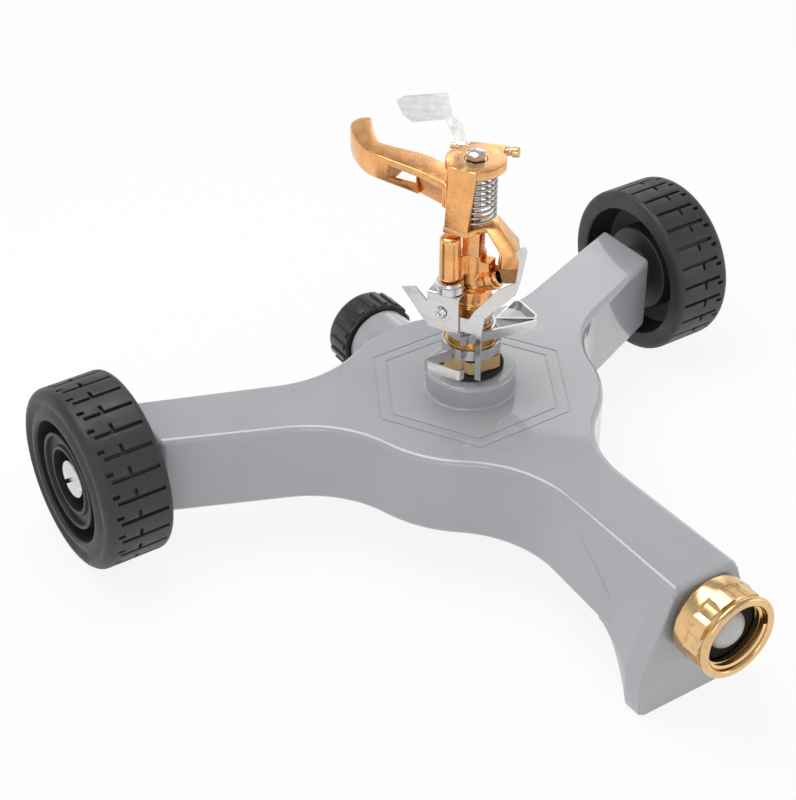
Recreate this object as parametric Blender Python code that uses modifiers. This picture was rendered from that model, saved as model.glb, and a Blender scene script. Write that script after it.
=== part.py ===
"""Impulse sprinkler on a wheeled, three-armed cast base.

Everything is in metres with +Z up. The origin is on the floor under the middle of the sprinkler,
+X points to the right wheel and -Y to the front foot with its hose coupling. The head turns about
a vertical axis, and its pieces are modelled in the head's own frame: u along the nozzle, v to its
left, z up from the floor.
"""
import math

import bmesh
import bpy
from mathutils import Matrix, Vector

# Clearances: fit between seated pieces, play of turning and sliding ones
SEAT = 0.0003
PLAY = 0.0004

# Casting: plan of the hub, its three arms and the fillets between them
DECK_Z = 0.0548
SKIRT_Z = 0.0200
WALL = 0.0032
HUB_RADIUS = 0.053
HUB_FILLET = 0.045
ARM_ROOT_HALF = 0.0162
ARM_TIP_HALF = 0.0147
SIDE_ARM_ANGLE = math.radians(22.5)
SIDE_ARM_X = 0.122
FRONT_ARM_Y = 0.1427
FRONT_ROOT_HALF = 0.0134
FRONT_TIP_HALF = 0.0146
FRONT_SKIRT_ROOT = 0.0156
FRONT_SKIRT_TIP = 0.0222
EDGE_ROUND = 0.0025
BOSS_RADIUS = 0.018
BOSS_Z = 0.0643
LINE_WIDTH = 0.0009
LINE_DEPTH = 0.0005
HEXAGON_OUTER = 0.0428
HEXAGON_INNER = 0.0372

# Front foot: where the flare starts, its half width, and how far back its toe reaches
FOOT_HALF = 0.0267
FOOT_FLARE_Z = 0.0205
FOOT_TOE = 0.008
FOOT_BLEND = 0.034
FOOT_CORNER = 0.003

# Waterway through the casting
WATER_Z = 0.0393
WATERWAY_RADIUS = 0.0115
WATERWAY_BORE = 0.0070
RISER_RADIUS = 0.0150
RISER_BORE = 0.0062
NECK_RADIUS = 0.0145
NECK_END_Y = 0.0665
NECK_THREAD_RADIUS = 0.0125
NECK_THREAD_END_Y = 0.0765

# Rear cap
CAP_RADIUS = 0.0174
CAP_LENGTH = 0.0135
CAP_WALL = 0.0022
CAP_RIBS = 18

# Hose coupling, its tube, washer and strainer
COUPLING_GAP = 0.0020
COUPLING_RADIUS = 0.0168
COUPLING_LENGTH = 0.0170
COUPLING_BORE = 0.0133
COUPLING_BACK_WALL = 0.0035
COUPLING_LUGS = 8
NIPPLE_RADIUS = 0.0095
NIPPLE_FLANGE_RADIUS = 0.0118
NIPPLE_FLANGE = 0.0018
NIPPLE_SUNK = 0.012
NIPPLE_BORE = 0.0060
HOSE_WASHER = 0.0025
SCREEN_RADIUS = 0.0078
SCREEN_HEIGHT = 0.0055

# Wheels and axles
WHEEL_RADIUS = 0.0373
WHEEL_WIDTH = 0.0288
AXLE_Y = 0.0536
TREAD_GROOVES = 24
GROOVE_WIDTH = 0.0016
GROOVE_DEPTH = 0.0020
GROOVE_MARGIN = 0.0042
WHEEL_RECESS_RADIUS = 0.0248
WHEEL_WEB_FRONT = 0.0100
WHEEL_WEB = 0.0050
WHEEL_BACK_RADIUS = 0.0295
RING_RADIUS = 0.0165
RING_HEIGHT = 0.0045
WHEEL_HUB_RADIUS = 0.0100
WHEEL_HUB_FRONT = 0.0089
AXLE_RADIUS = 0.0040
BOLT_HEAD_RADIUS = 0.0080
BOLT_HEAD = 0.0040
BOLT_SLOT = 0.0016
AXLE_WASHER_RADIUS = 0.0090
AXLE_WASHER = 0.0012
AXLE_BOSS_RADIUS = 0.0105
AXLE_BOSS_OUT = 0.0021
AXLE_ROOT_RADIUS = 0.0080
AXLE_ROOT = 0.0060
SPACER_RADIUS = 0.0070
SPACER_LENGTH = 0.0015
BOLT_END = 0.0010

# Head seat: base washer, bearing nut, sleeve, stand spring
NOZZLE_AZIMUTH = math.radians(-62)
PLUG_RADIUS = 0.0100
PLUG_DEPTH = 0.0110
BASE_WASHER_RADIUS = 0.0130
BASE_WASHER = 0.0020
NUT_FLATS = 0.0220
NUT_HEX = 0.0064
NUT_TURN = math.radians(27)
LOWER_SEAT_RADIUS = 0.0105
LOWER_SEAT = 0.0050
UPPER_SEAT_RADIUS = 0.0082
UPPER_SEAT = 0.0073
NUT_BORE = 0.0066
SLEEVE_RADIUS = 0.0062
SLEEVE_BORE = 0.0045
SLEEVE_FLANGE_RADIUS = 0.0090
SLEEVE_FLANGE = 0.0020
WEAR_WASHER = 0.0009
STAND_SPRING_WIRE = 0.0007
STAND_SPRING_TURNS = 2
STAND_SPRING_SPACE = 0.0037

# Trip collars: strip thickness and height, handle triangles
STRIP = 0.0009
STRIP_HEIGHT = 0.0044
COLLAR_RAISE = 0.0023
UPPER_HANDLE_SIDE = 0.0186
UPPER_HANDLE_ANGLE = math.radians(37.6)
UPPER_HANDLE_SKEW = math.radians(19.6)
UPPER_TAIL = 0.0085
LOWER_HANDLE_SIDE = 0.0200
LOWER_HANDLE_ANGLE = math.radians(269)
LOWER_HANDLE_REACH = 0.0248

# Head body
HUB_HEIGHT = 0.0120
BODY_HUB_RADIUS = 0.0086
BODY_SKIRT = 0.0062
BODY_NECK_RADIUS = 0.0072
POST_RADIUS = 0.0050
POST_HEIGHT = 0.0160
COLUMN_RADIUS = 0.00415
COLUMN_U = -0.0050
COLUMN_V = -0.0100
COLUMN_HEIGHT = 0.0189
WEB_THICKNESS = 0.0040
WEB_HEIGHT = 0.0092
BARREL_TILT = math.radians(27)
BARREL_RISE = 0.0015
BARREL_RADIUS = 0.0050
BARREL_LENGTH = 0.0110
NOZZLE_RADIUS = 0.0036
NOZZLE_OUT = 0.0018
NOZZLE_BORE = 0.0022
NOZZLE_SEAT = 0.0060
CHANNEL_RADIUS = 0.0030

# Fulcrum pin and bush
PIN_RADIUS = 0.0023
PIN_SUNK = 0.0095
PIN_HEAD_FLATS = 0.0070
PIN_HEAD = 0.0032
BUSH_RADIUS = 0.0042

# Impact arm
ARM_TOP_Z = 0.1563
DISC_RADIUS = 0.0115
DISC = 0.0035
CAGE_WALL = 0.0020
CAGE_FACE_V = -0.0110
CAGE_TOP_HALF = 0.0056
CAGE_FOOT_LEFT = -0.0076
CAGE_FOOT_RIGHT = 0.0020
CAGE_PLATE = 0.0025
ARM_BOSS_RADIUS = 0.0042
LUG_LENGTH = 0.0070
LUG_V = (-0.0075, -0.0040)
LUG_HEIGHT = 0.0095
BEAM_TOP_Z = 0.1483
BEAM_HEIGHT = 0.0102
WINDOW_U = (-0.0350, -0.0220)
WINDOW_TOP = 0.0025
RAIL_HEIGHT = 0.0028
RAIL_BACK_V = -0.0022
SPOON_REACH = 0.0173
SPOON_WIDTH = 0.0073
SPOON_LIP = 0.0107
SPOON_DEPTH = 0.0030
SPOON_ROOT = (0.0035, 0.0067)
SPOON_SLOPE = 0.0103
LEDGE = 0.0055
SPOON_FOOT = 0.0085
SPOON_BACK_V = 0.0050

# Plan of the weighted beam: its near side from the cage out to the weight, its far side back
BEAM_NEAR_SIDE = ((-0.0068, -0.0110), (-0.0120, -0.0090), (-0.0222, -0.0057), (-0.0363, -0.0031),
                  (-0.0432, -0.0016), (-0.0501, 0.0020), (-0.0571, 0.0085), (-0.0612, 0.0139),
                  (-0.0626, 0.0175), (-0.0616, 0.0222), (-0.0577, 0.0249))
BEAM_FAR_SIDE = ((-0.0563, 0.0223), (-0.0519, 0.0160), (-0.0466, 0.0095), (-0.0421, 0.0077),
                 (-0.0275, 0.0077), (-0.0196, 0.0064), (-0.0120, 0.0025), (-0.0098, -0.0025),
                 (-0.0062, -0.0092))

# Arm spring
ARM_SPRING_WIRE = 0.0011
ARM_SPRING_RADIUS = 0.0079
ARM_SPRING_TURNS = 9

# Deflector flap with its pin and knob
VIEW_TURN = math.radians(28.1)
FLAP_PIN_TURN = math.radians(15.2)
FLAP_PIN_SUNK = 0.0018
FLAP_PIN_RADIUS = 0.0010
FLAP_PIN_BACK = 0.0112
FLAP_PIN_LEFT = 0.0098
FLAP_PIN_RIGHT = 0.0125
FLAP_SHEET = 0.0008
FLAP_TILT = math.radians(20)
FLAP_STRIP_WIDTH = 0.0041
FLAP_STRIP_LENGTH = 0.0095
FLAP_LEAN = 0.0037
FLAP_PADDLE_LENGTH = 0.0208
FLAP_PADDLE_HEIGHT = 0.0099
FLAP_NOSE = ((0.0028, 0.0), (0.0016, 0.0095), (-0.0012, 0.0075), (0.0016, 0.0024), (0.0056, 0.0))
PIN_BOSS = 0.0022
KNOB_RADIUS = 0.0020
KNOB_LENGTH = 0.0048
KNOB_SUNK = 0.0028

# Trip bracket, lever, rivet and toggle spring
SHEET = 0.0008
BRACKET_FACE_V = -0.0135
BRACKET_LEFT = -0.0128
BRACKET_RIGHT = 0.0006
BRACKET_DROP = 0.0160
FLANGE_RISE = 0.0003
BRACKET_NUT_RADIUS = 0.0055
BRACKET_NUT = 0.0050
SCREW_RADIUS = 0.0016
SCREW_HEAD_RADIUS = 0.0024
SCREW_HEAD = 0.0024
SCREW_REACH = 0.0100
RIVET_U = -0.0067
RIVET_DROP = 0.0070
RIVET_RADIUS = 0.0012
RIVET_HEAD_RADIUS = 0.0024
RIVET_HEAD = 0.0009
TOGGLE_WIRE = 0.0005
TOGGLE_TURNS = 2

# Outline of the trip lever about its rivet, part by part: finger, blade, eye and wing
LEVER_FINGER = ((0.0143, -0.0070), (0.0143, -0.0275), (0.0167, -0.0275), (0.0167, -0.0065))
LEVER_BLADE = ((0.0179, 0.0015), (0.0299, 0.0154), (0.0320, 0.0220), (0.0343, 0.0359), (0.0336, 0.0375),
               (0.0325, 0.0375), (0.0297, 0.0346), (0.0313, 0.0307), (0.0302, 0.0214), (0.0230, 0.0159),
               (0.0138, 0.0042), (0.0112, -0.0005))
LEVER_EYE = ((0.0032, -0.0007), (0.0024, 0.0028), (-0.0024, 0.0028), (-0.0033, -0.0005))
LEVER_WING = ((-0.0088, 0.0045), (-0.0119, 0.0076), (-0.0178, 0.0058), (-0.0076, -0.0070))

# Heights and places that follow from the sizes above
FRONT_REACH = FRONT_ARM_Y + COUPLING_GAP + COUPLING_LENGTH
REAR_REACH = AXLE_Y + WHEEL_RADIUS
HEAD_Y = (FRONT_REACH - REAR_REACH) / 2
AXLE_Z = WHEEL_RADIUS
WHEEL_INNER_X = SIDE_ARM_X + AXLE_BOSS_OUT + SEAT + SPACER_LENGTH
WASHER_Z = BOSS_Z + SEAT
NUT_Z = WASHER_Z + BASE_WASHER + SEAT
LOWER_SEAT_Z = NUT_Z + NUT_HEX
UPPER_SEAT_Z = LOWER_SEAT_Z + LOWER_SEAT
NUT_TOP_Z = UPPER_SEAT_Z + UPPER_SEAT
PLUG_Z = BOSS_Z - PLUG_DEPTH
FLANGE_TOP_Z = PLUG_Z - 2 * SEAT - WEAR_WASHER
RISER_FLOOR_Z = FLANGE_TOP_Z - SLEEVE_FLANGE - SEAT
HUB_Z = NUT_TOP_Z + STAND_SPRING_SPACE
HUB_TOP_Z = HUB_Z + HUB_HEIGHT
BRACKET_Z = HUB_TOP_Z + FLANGE_RISE
BRACKET_NUT_Z = BRACKET_Z + SHEET + SEAT
COLUMN_Z = BRACKET_NUT_Z + BRACKET_NUT + SEAT
COLUMN_TOP_Z = COLUMN_Z + COLUMN_HEIGHT
POST_TOP_Z = HUB_TOP_Z + POST_HEIGHT
BOSS_FOOT_Z = POST_TOP_Z + SEAT
PLATE_Z = COLUMN_TOP_Z + 4 * SEAT
PLATE_TOP_Z = PLATE_Z + CAGE_PLATE
DISC_Z = ARM_TOP_Z - DISC
RIVET_Z = HUB_TOP_Z - RIVET_DROP
LEVER_V = BRACKET_FACE_V + SHEET + SEAT
FLAP_PIN_Z = ARM_TOP_Z - FLAP_PIN_SUNK


def clear_scene():
    for obj in list(bpy.data.objects):
        bpy.data.objects.remove(obj, do_unlink=True)


def new_collection(name):
    collection = bpy.data.collections.new(name)
    bpy.context.scene.collection.children.link(collection)
    return collection


clear_scene()
PARTS = new_collection("impulse_sprinkler")
CUTTERS = new_collection("cutters")


def material(name, colour, roughness, metallic):
    made = bpy.data.materials.new(name)
    made.use_nodes = True
    shader = made.node_tree.nodes["Principled BSDF"]
    shader.inputs["Base Color"].default_value = (*colour, 1)
    shader.inputs["Roughness"].default_value = roughness
    shader.inputs["Metallic"].default_value = metallic
    return made


GREY_PAINT = material("grey_paint", (0.40, 0.41, 0.42), 0.35, 0.2)
BLACK_PLASTIC = material("black_plastic", (0.03, 0.03, 0.032), 0.5, 0.0)
RUBBER = material("rubber", (0.02, 0.02, 0.02), 0.7, 0.0)
BRONZE = material("bronze", (0.72, 0.36, 0.14), 0.35, 0.9)
BRASS = material("brass", (0.72, 0.50, 0.22), 0.3, 0.95)
STAINLESS = material("stainless", (0.66, 0.66, 0.65), 0.25, 0.95)
GREY_PLASTIC = material("grey_plastic", (0.45, 0.46, 0.47), 0.45, 0.0)


def frame(name, place, turn=0.0, parent=None):
    """An empty that carries the pieces of one axis."""
    empty = bpy.data.objects.new(name, None)
    empty.location = place
    empty.rotation_euler = (0, 0, turn)
    empty.parent = parent
    PARTS.objects.link(empty)
    return empty


def add(name, mesh, parent=None, finish=None):
    """A named piece, or a cutter where no finish is given."""
    obj = bpy.data.objects.new(name, mesh)
    obj.parent = parent
    if finish is None:
        CUTTERS.objects.link(obj)
        obj.hide_render = True
        obj.display_type = "WIRE"
    else:
        PARTS.objects.link(obj)
        mesh.materials.append(finish)
    return obj


def mesh_from(name, build):
    shape = bmesh.new()
    build(shape)
    bmesh.ops.recalc_face_normals(shape, faces=shape.faces)
    mesh = bpy.data.meshes.new(name)
    shape.to_mesh(mesh)
    shape.free()
    return mesh


def box(name, low, high, parent=None, finish=None, turn=None):
    """A box between two corners, turned about its own middle by the matrix turn."""
    middle = (Vector(low) + Vector(high)) / 2
    size = Vector(high) - Vector(low)
    place = Matrix.Translation(middle) @ (turn or Matrix()) @ Matrix.Diagonal((*size, 1))
    mesh = mesh_from(name, lambda shape: bmesh.ops.create_cube(shape, size=1, matrix=place))
    return add(name, mesh, parent, finish)


def rod(name, start, end, radius, parent=None, finish=None, sides=24, turn=0.0, end_radius=None):
    """A cylinder, cone or prism from start to end."""
    start = Vector(start)
    span = Vector(end) - start
    place = Matrix.Translation(start + span / 2) @ span.to_track_quat("Z", "Y").to_matrix().to_4x4()
    place = place @ Matrix.Rotation(turn, 4, "Z")
    tip = radius if end_radius is None else end_radius
    mesh = mesh_from(name, lambda shape: bmesh.ops.create_cone(
        shape, cap_ends=True, segments=sides, radius1=radius, radius2=tip,
        depth=span.length, matrix=place))
    mesh.shade_smooth()
    mesh.set_sharp_from_angle(angle=math.radians(40))
    return add(name, mesh, parent, finish)


def hexagon(name, start, end, flats, parent=None, finish=None, turn=0.0):
    return rod(name, start, end, flats / math.sqrt(3), parent, finish, sides=6, turn=turn)


def turned(name, profile, place, direction, parent=None, finish=None, steps=32, ring=False):
    """A profile of (radius, height) pairs, outer side first from top to bottom, turned about
    the line through place along direction. A ring's profile closes on itself."""
    mesh = bpy.data.meshes.new(name)
    count = len(profile)
    edges = [(n, n + 1) for n in range(count - 1)]
    if ring:
        edges.append((count - 1, 0))
    mesh.from_pydata([(radius, 0, height) for radius, height in profile], edges, [])
    obj = add(name, mesh, parent, finish)
    obj.location = place
    obj.rotation_euler = Vector(direction).to_track_quat("Z", "Y").to_euler()
    screw = obj.modifiers.new("turn", "SCREW")
    screw.steps = steps
    screw.render_steps = steps
    screw.use_merge_vertices = True
    screw.merge_threshold = 0.00001
    screw.use_smooth_shade = True
    return obj


def tube(name, outer, bore, low, high, place, direction, parent=None, finish=None, steps=32):
    """A plain tube or washer between two heights."""
    profile = [(outer, high), (outer, low), (bore, low), (bore, high)]
    return turned(name, profile, place, direction, parent, finish, steps, ring=True)


def solid_mesh(obj):
    """The object as the viewport shows it, made a plain mesh with welded seams and whole faces."""
    bpy.context.view_layer.update()
    graph = bpy.context.evaluated_depsgraph_get()
    mesh = bpy.data.meshes.new_from_object(obj.evaluated_get(graph))
    shape = bmesh.new()
    shape.from_mesh(mesh)
    bmesh.ops.remove_doubles(shape, verts=shape.verts, dist=0.000002)
    bmesh.ops.dissolve_limit(shape, angle_limit=0.0005, verts=shape.verts, edges=shape.edges)
    bmesh.ops.recalc_face_normals(shape, faces=shape.faces)
    shape.to_mesh(mesh)
    shape.free()
    return mesh


def curve_solid(name, curve, matrix, parent=None, finish=None):
    """A filled or bevelled curve, made a mesh so that it can be cut and joined."""
    source = bpy.data.objects.new(name + "_curve", curve)
    CUTTERS.objects.link(source)
    mesh = solid_mesh(source)
    bpy.data.objects.remove(source, do_unlink=True)
    mesh.transform(matrix)
    mesh.materials.clear()
    return add(name, mesh, parent, finish)


def plate(name, outlines, thickness, matrix, parent=None, finish=None):
    """A flat outline, with any holes after it, as thick as given and centred on its plane."""
    curve = bpy.data.curves.new(name, "CURVE")
    curve.dimensions = "2D"
    curve.fill_mode = "BOTH"
    curve.extrude = thickness / 2
    for outline in outlines:
        spline = curve.splines.new("POLY")
        spline.points.add(len(outline) - 1)
        for point, (x, y) in zip(spline.points, outline):
            point.co = (x, y, 0, 1)
        spline.use_cyclic_u = True
    return curve_solid(name, curve, matrix, parent, finish)


def wire(name, points, radius, parent, finish, resolution=1):
    """One unbroken round wire along the points."""
    curve = bpy.data.curves.new(name, "CURVE")
    curve.dimensions = "3D"
    curve.bevel_depth = radius
    curve.bevel_resolution = resolution
    curve.use_fill_caps = True
    spline = curve.splines.new("POLY")
    spline.points.add(len(points) - 1)
    for point, place in zip(spline.points, points):
        point.co = (*place, 1)
    return curve_solid(name, curve, Matrix(), parent, finish)


def loft(name, sections, parent=None, finish=None):
    """A solid through like sections, each a ring of points with the same count."""
    count = len(sections[0])

    def build(shape):
        rings = [[shape.verts.new(point) for point in section] for section in sections]
        for near, far in zip(rings, rings[1:]):
            for n in range(count):
                shape.faces.new((near[n], near[(n + 1) % count], far[(n + 1) % count], far[n]))
        shape.faces.new(rings[0])
        shape.faces.new(rings[-1])

    return add(name, mesh_from(name, build), parent, finish)


def combine(obj, other, operation):
    modifier = obj.modifiers.new(operation.lower(), "BOOLEAN")
    modifier.operation = operation
    modifier.solver = "EXACT"
    modifier.object = other


def join(obj, *others):
    for other in others:
        combine(obj, other, "UNION")


def cut(obj, *others):
    for other in others:
        combine(obj, other, "DIFFERENCE")


def round_edges(obj, width, segments=2, angle=40):
    bevel = obj.modifiers.new("round", "BEVEL")
    bevel.width = width
    bevel.segments = segments
    bevel.limit_method = "ANGLE"
    bevel.angle_limit = math.radians(angle)


def arc(centre, radius, start, end, count):
    """Points of an arc, both ends included."""
    return [(centre[0] + radius * math.cos(start + (end - start) * n / count),
             centre[1] + radius * math.sin(start + (end - start) * n / count))
            for n in range(count + 1)]


def upright(place):
    """Stands a flat outline up, so that it runs along u and z at the depth given."""
    return Matrix.Translation((0, place, 0)) @ Matrix.Rotation(math.pi / 2, 4, "X")


def helix_gap(radius, pitch, wire_radius):
    """Least distance between neighbouring turns of a coil."""
    length = math.hypot(2 * math.pi * radius, pitch)
    return pitch * 2 * math.pi * radius / length - 2 * wire_radius


def coil(radius, low, high, turns, per_turn=10, start=0.0):
    """Centre line of a compression spring with ground, level end turns left out."""
    count = turns * per_turn
    return [(radius * math.cos(start + 2 * math.pi * n / per_turn),
             radius * math.sin(start + 2 * math.pi * n / per_turn),
             low + (high - low) * n / count)
            for n in range(count + 1)]


# Frames: the head's axis on the casting, and the head turned to where its nozzle points
SLED = frame("head_axis", (0, HEAD_Y, 0))
HEAD = frame("head_frame", (0, 0, 0), NOZZLE_AZIMUTH, SLED)


# Base casting

def is_front(direction):
    return abs(math.cos(direction)) < 0.5


def arm_side(direction, side, inset, skirt):
    """Edge line of an arm on one side of it: distance from the axis, and the line's angle.
    The front arm is wider at the skirt than at the deck."""
    run = SIDE_ARM_X / math.cos(SIDE_ARM_ANGLE)
    root, tip = ARM_ROOT_HALF, ARM_TIP_HALF
    if is_front(direction):
        run = FRONT_ARM_Y
        root = FRONT_ROOT_HALF + (FRONT_SKIRT_ROOT - FRONT_ROOT_HALF) * skirt
        tip = FRONT_TIP_HALF + (FRONT_SKIRT_TIP - FRONT_TIP_HALF) * skirt
    taper = math.atan((root - tip) / (run - HUB_RADIUS))
    at_axis = tip + run * math.tan(taper)
    return at_axis * math.cos(taper) - inset, direction - side * taper


def fillet_centre(direction, side, inset, skirt):
    distance, along = arm_side(direction, side, inset, skirt)
    fillet = HUB_FILLET + inset
    offset = distance + fillet
    reach = math.sqrt((HUB_RADIUS - inset + fillet) ** 2 - offset ** 2)
    normal = along + side * math.pi / 2
    return (reach * math.cos(along) + offset * math.cos(normal),
            reach * math.sin(along) + offset * math.sin(normal)), normal


def arm_end(direction, side, inset, skirt):
    """Corner of an arm: the side arms end square to X, the front arm square to Y."""
    distance, along = arm_side(direction, side, inset, skirt)
    normal = along + side * math.pi / 2
    foot = (distance * math.cos(normal), distance * math.sin(normal))
    if is_front(direction):
        run = (-(FRONT_ARM_Y - inset) - foot[1]) / math.sin(along)
    else:
        run = ((SIDE_ARM_X - inset) * math.copysign(1, math.cos(direction)) - foot[0]) / math.cos(along)
    return foot[0] + run * math.cos(along), foot[1] + run * math.sin(along)


def sled_outline(inset=0.0, skirt=0.0, fillet_steps=4, hub_steps=3):
    """Plan of the casting, anticlockwise, drawn in by inset; skirt is 0 at the deck, 1 at the skirt."""
    directions = (SIDE_ARM_ANGLE, math.pi - SIDE_ARM_ANGLE, math.pi * 3 / 2)
    points = []
    for number, direction in enumerate(directions):
        following = directions[(number + 1) % 3]
        points.append(arm_end(direction, -1, inset, skirt))
        points.append(arm_end(direction, 1, inset, skirt))
        first, first_normal = fillet_centre(direction, 1, inset, skirt)
        second, second_normal = fillet_centre(following, -1, inset, skirt)
        first_angle = math.atan2(first[1], first[0])
        second_angle = math.atan2(second[1], second[0])
        if second_angle < first_angle:
            second_angle += 2 * math.pi
        start = first_normal + math.pi
        end = start - (start - (first_angle + math.pi)) % (2 * math.pi)
        points += arc(first, HUB_FILLET + inset, start, end, fillet_steps)
        points += arc((0, 0), HUB_RADIUS - inset, first_angle, second_angle, hub_steps)[1:-1]
        start = second_angle + math.pi
        end = start - (start - (second_normal + math.pi)) % (2 * math.pi)
        points += arc(second, HUB_FILLET + inset, start, end, fillet_steps)
    return points


def sled_form(name, inset, low, high, finish=None):
    """The casting's plan as a solid between two heights, with the front arm's draft."""
    levels = []
    for z in (low, high):
        skirt = (DECK_Z - z) / (DECK_Z - SKIRT_Z)
        levels.append([(x, y, z) for x, y in sled_outline(inset, skirt)])
    return loft(name, levels, SLED, finish)


def foot_sections(inset=0.0, top=DECK_Z):
    """Sections of the front foot from its end plane back to where it has run into the arm."""
    steps = 6
    sections = []
    for n in range(steps + 1):
        back = max(0, n - 1) / (steps - 1)
        y = -FRONT_ARM_Y + inset + (0 if n == 0 else FOOT_TOE + (FOOT_BLEND - FOOT_TOE) * back)
        along = (-y - HUB_RADIUS) / (FRONT_ARM_Y - HUB_RADIUS)
        half_deck = FRONT_ROOT_HALF + (FRONT_TIP_HALF - FRONT_ROOT_HALF) * along
        half_skirt = FRONT_SKIRT_ROOT + (FRONT_SKIRT_TIP - FRONT_SKIRT_ROOT) * along
        blend = (1 - back) ** 2
        shrunk = inset if inset > SEAT else inset + 2 * SEAT * back
        half = half_skirt + (FOOT_HALF - half_skirt) * blend - shrunk
        sole = SKIRT_Z * (1 - blend) - (0.002 if inset > SEAT else 0)
        corner = FOOT_CORNER * blend
        knee = max(FOOT_FLARE_Z * (0.9 + 0.1 * (1 - blend)), sole + corner + 0.001)
        lean = (half_skirt - half_deck) / (DECK_Z - SKIRT_Z)
        half_top = half_deck + lean * (DECK_Z - top) - shrunk
        side = [(half_top, top), (half, knee), (half, sole + corner), (half - corner * 0.7, sole)]
        sections.append([(x, y, z) for x, z in side] + [(-x, y, z) for x, z in reversed(side)])
    return sections


def hexagon_groove(circumradius):
    outer = arc((0, 0), circumradius + LINE_WIDTH / 2, 0, 2 * math.pi, 6)[:-1]
    inner = arc((0, 0), circumradius - LINE_WIDTH / 2, 0, 2 * math.pi, 6)[:-1]
    place = Matrix.Translation((0, 0, DECK_Z))
    return plate("groove", [outer, inner], 2 * LINE_DEPTH, place, SLED)


def base_casting():
    body = sled_form("base_casting", 0.0, SKIRT_Z, DECK_Z, GREY_PAINT)
    foot = loft("foot", foot_sections(SEAT / 2, DECK_Z - 1.3 * EDGE_ROUND), SLED)
    cavity = sled_form("cavity", WALL, SKIRT_Z - 0.001, DECK_Z - WALL)
    foot_cavity = loft("foot_cavity", foot_sections(WALL, DECK_Z - 3 * WALL), SLED)
    boss = turned("boss", [(0, BOSS_Z), (BOSS_RADIUS - 0.0025, BOSS_Z), (BOSS_RADIUS, BOSS_Z - 0.0025),
                           (BOSS_RADIUS + 0.0003, DECK_Z - 0.001), (0, DECK_Z - 0.001)],
                  (0, 0, 0), (0, 0, 1), SLED, steps=40)
    riser_foot_z = WATER_Z - WATERWAY_RADIUS / 3
    riser = rod("riser", (0, 0, riser_foot_z), (0, 0, BOSS_Z - 0.002), RISER_RADIUS, SLED)
    neck_start = HUB_RADIUS - 2 * WALL
    waterway = rod("waterway", (0, -FRONT_ARM_Y + 0.001, WATER_Z), (0, neck_start + 0.003, WATER_Z),
                   WATERWAY_RADIUS, SLED)
    neck = rod("neck", (0, neck_start, WATER_Z), (0, NECK_END_Y, WATER_Z), NECK_RADIUS, SLED, sides=28)
    thread = rod("neck_thread", (0, NECK_END_Y - 0.001, WATER_Z), (0, NECK_THREAD_END_Y, WATER_Z),
                 NECK_THREAD_RADIUS, SLED, sides=24)
    round_edges(body, EDGE_ROUND, 2, 60)
    cut(body, hexagon_groove(HEXAGON_OUTER), hexagon_groove(HEXAGON_INNER))
    join(body, foot, boss)
    cut(body, cavity, foot_cavity)
    join(body, waterway, riser, neck, thread)
    for side in (1, -1):
        inner = SIDE_ARM_X - WALL / 2
        outer = SIDE_ARM_X + AXLE_BOSS_OUT
        axle_boss = rod("axle_boss", (side * inner, AXLE_Y, AXLE_Z), (side * outer, AXLE_Y, AXLE_Z),
                        AXLE_BOSS_RADIUS, SLED)
        axle_root = rod("axle_root", (side * (SIDE_ARM_X - AXLE_ROOT), AXLE_Y, AXLE_Z),
                        (side * inner, AXLE_Y, AXLE_Z), AXLE_ROOT_RADIUS, SLED, sides=20)
        join(body, axle_boss, axle_root)
    plug_bore = rod("plug_bore", (0, 0, RISER_FLOOR_Z), (0, 0, BOSS_Z + 0.01), PLUG_RADIUS + SEAT, SLED,
                    sides=32)
    riser_bore = rod("riser_bore", (0, 0, riser_foot_z), (0, 0, RISER_FLOOR_Z + 0.001), RISER_BORE, SLED)
    bore_start = -FRONT_ARM_Y - 0.005
    water_bore = rod("water_bore", (0, bore_start, WATER_Z), (0, NECK_THREAD_END_Y + 0.005, WATER_Z),
                     WATERWAY_BORE, SLED)
    nipple_bore = rod("nipple_bore", (0, bore_start, WATER_Z),
                      (0, -FRONT_ARM_Y + NIPPLE_SUNK + SEAT, WATER_Z), NIPPLE_RADIUS + SEAT, SLED, sides=32)
    cut(body, plug_bore, riser_bore, water_bore, nipple_bore)
    for side in (1, -1):
        start = side * (SIDE_ARM_X - AXLE_ROOT - 0.001)
        end = side * (SIDE_ARM_X + 0.01)
        axle_bore = rod("axle_bore", (start, AXLE_Y, AXLE_Z), (end, AXLE_Y, AXLE_Z),
                        AXLE_RADIUS + SEAT, SLED)
        cut(body, axle_bore)
    return body


base_casting()


# Waterway: nipple, coupling, washer and strainer on the front, cap on the rear

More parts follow.
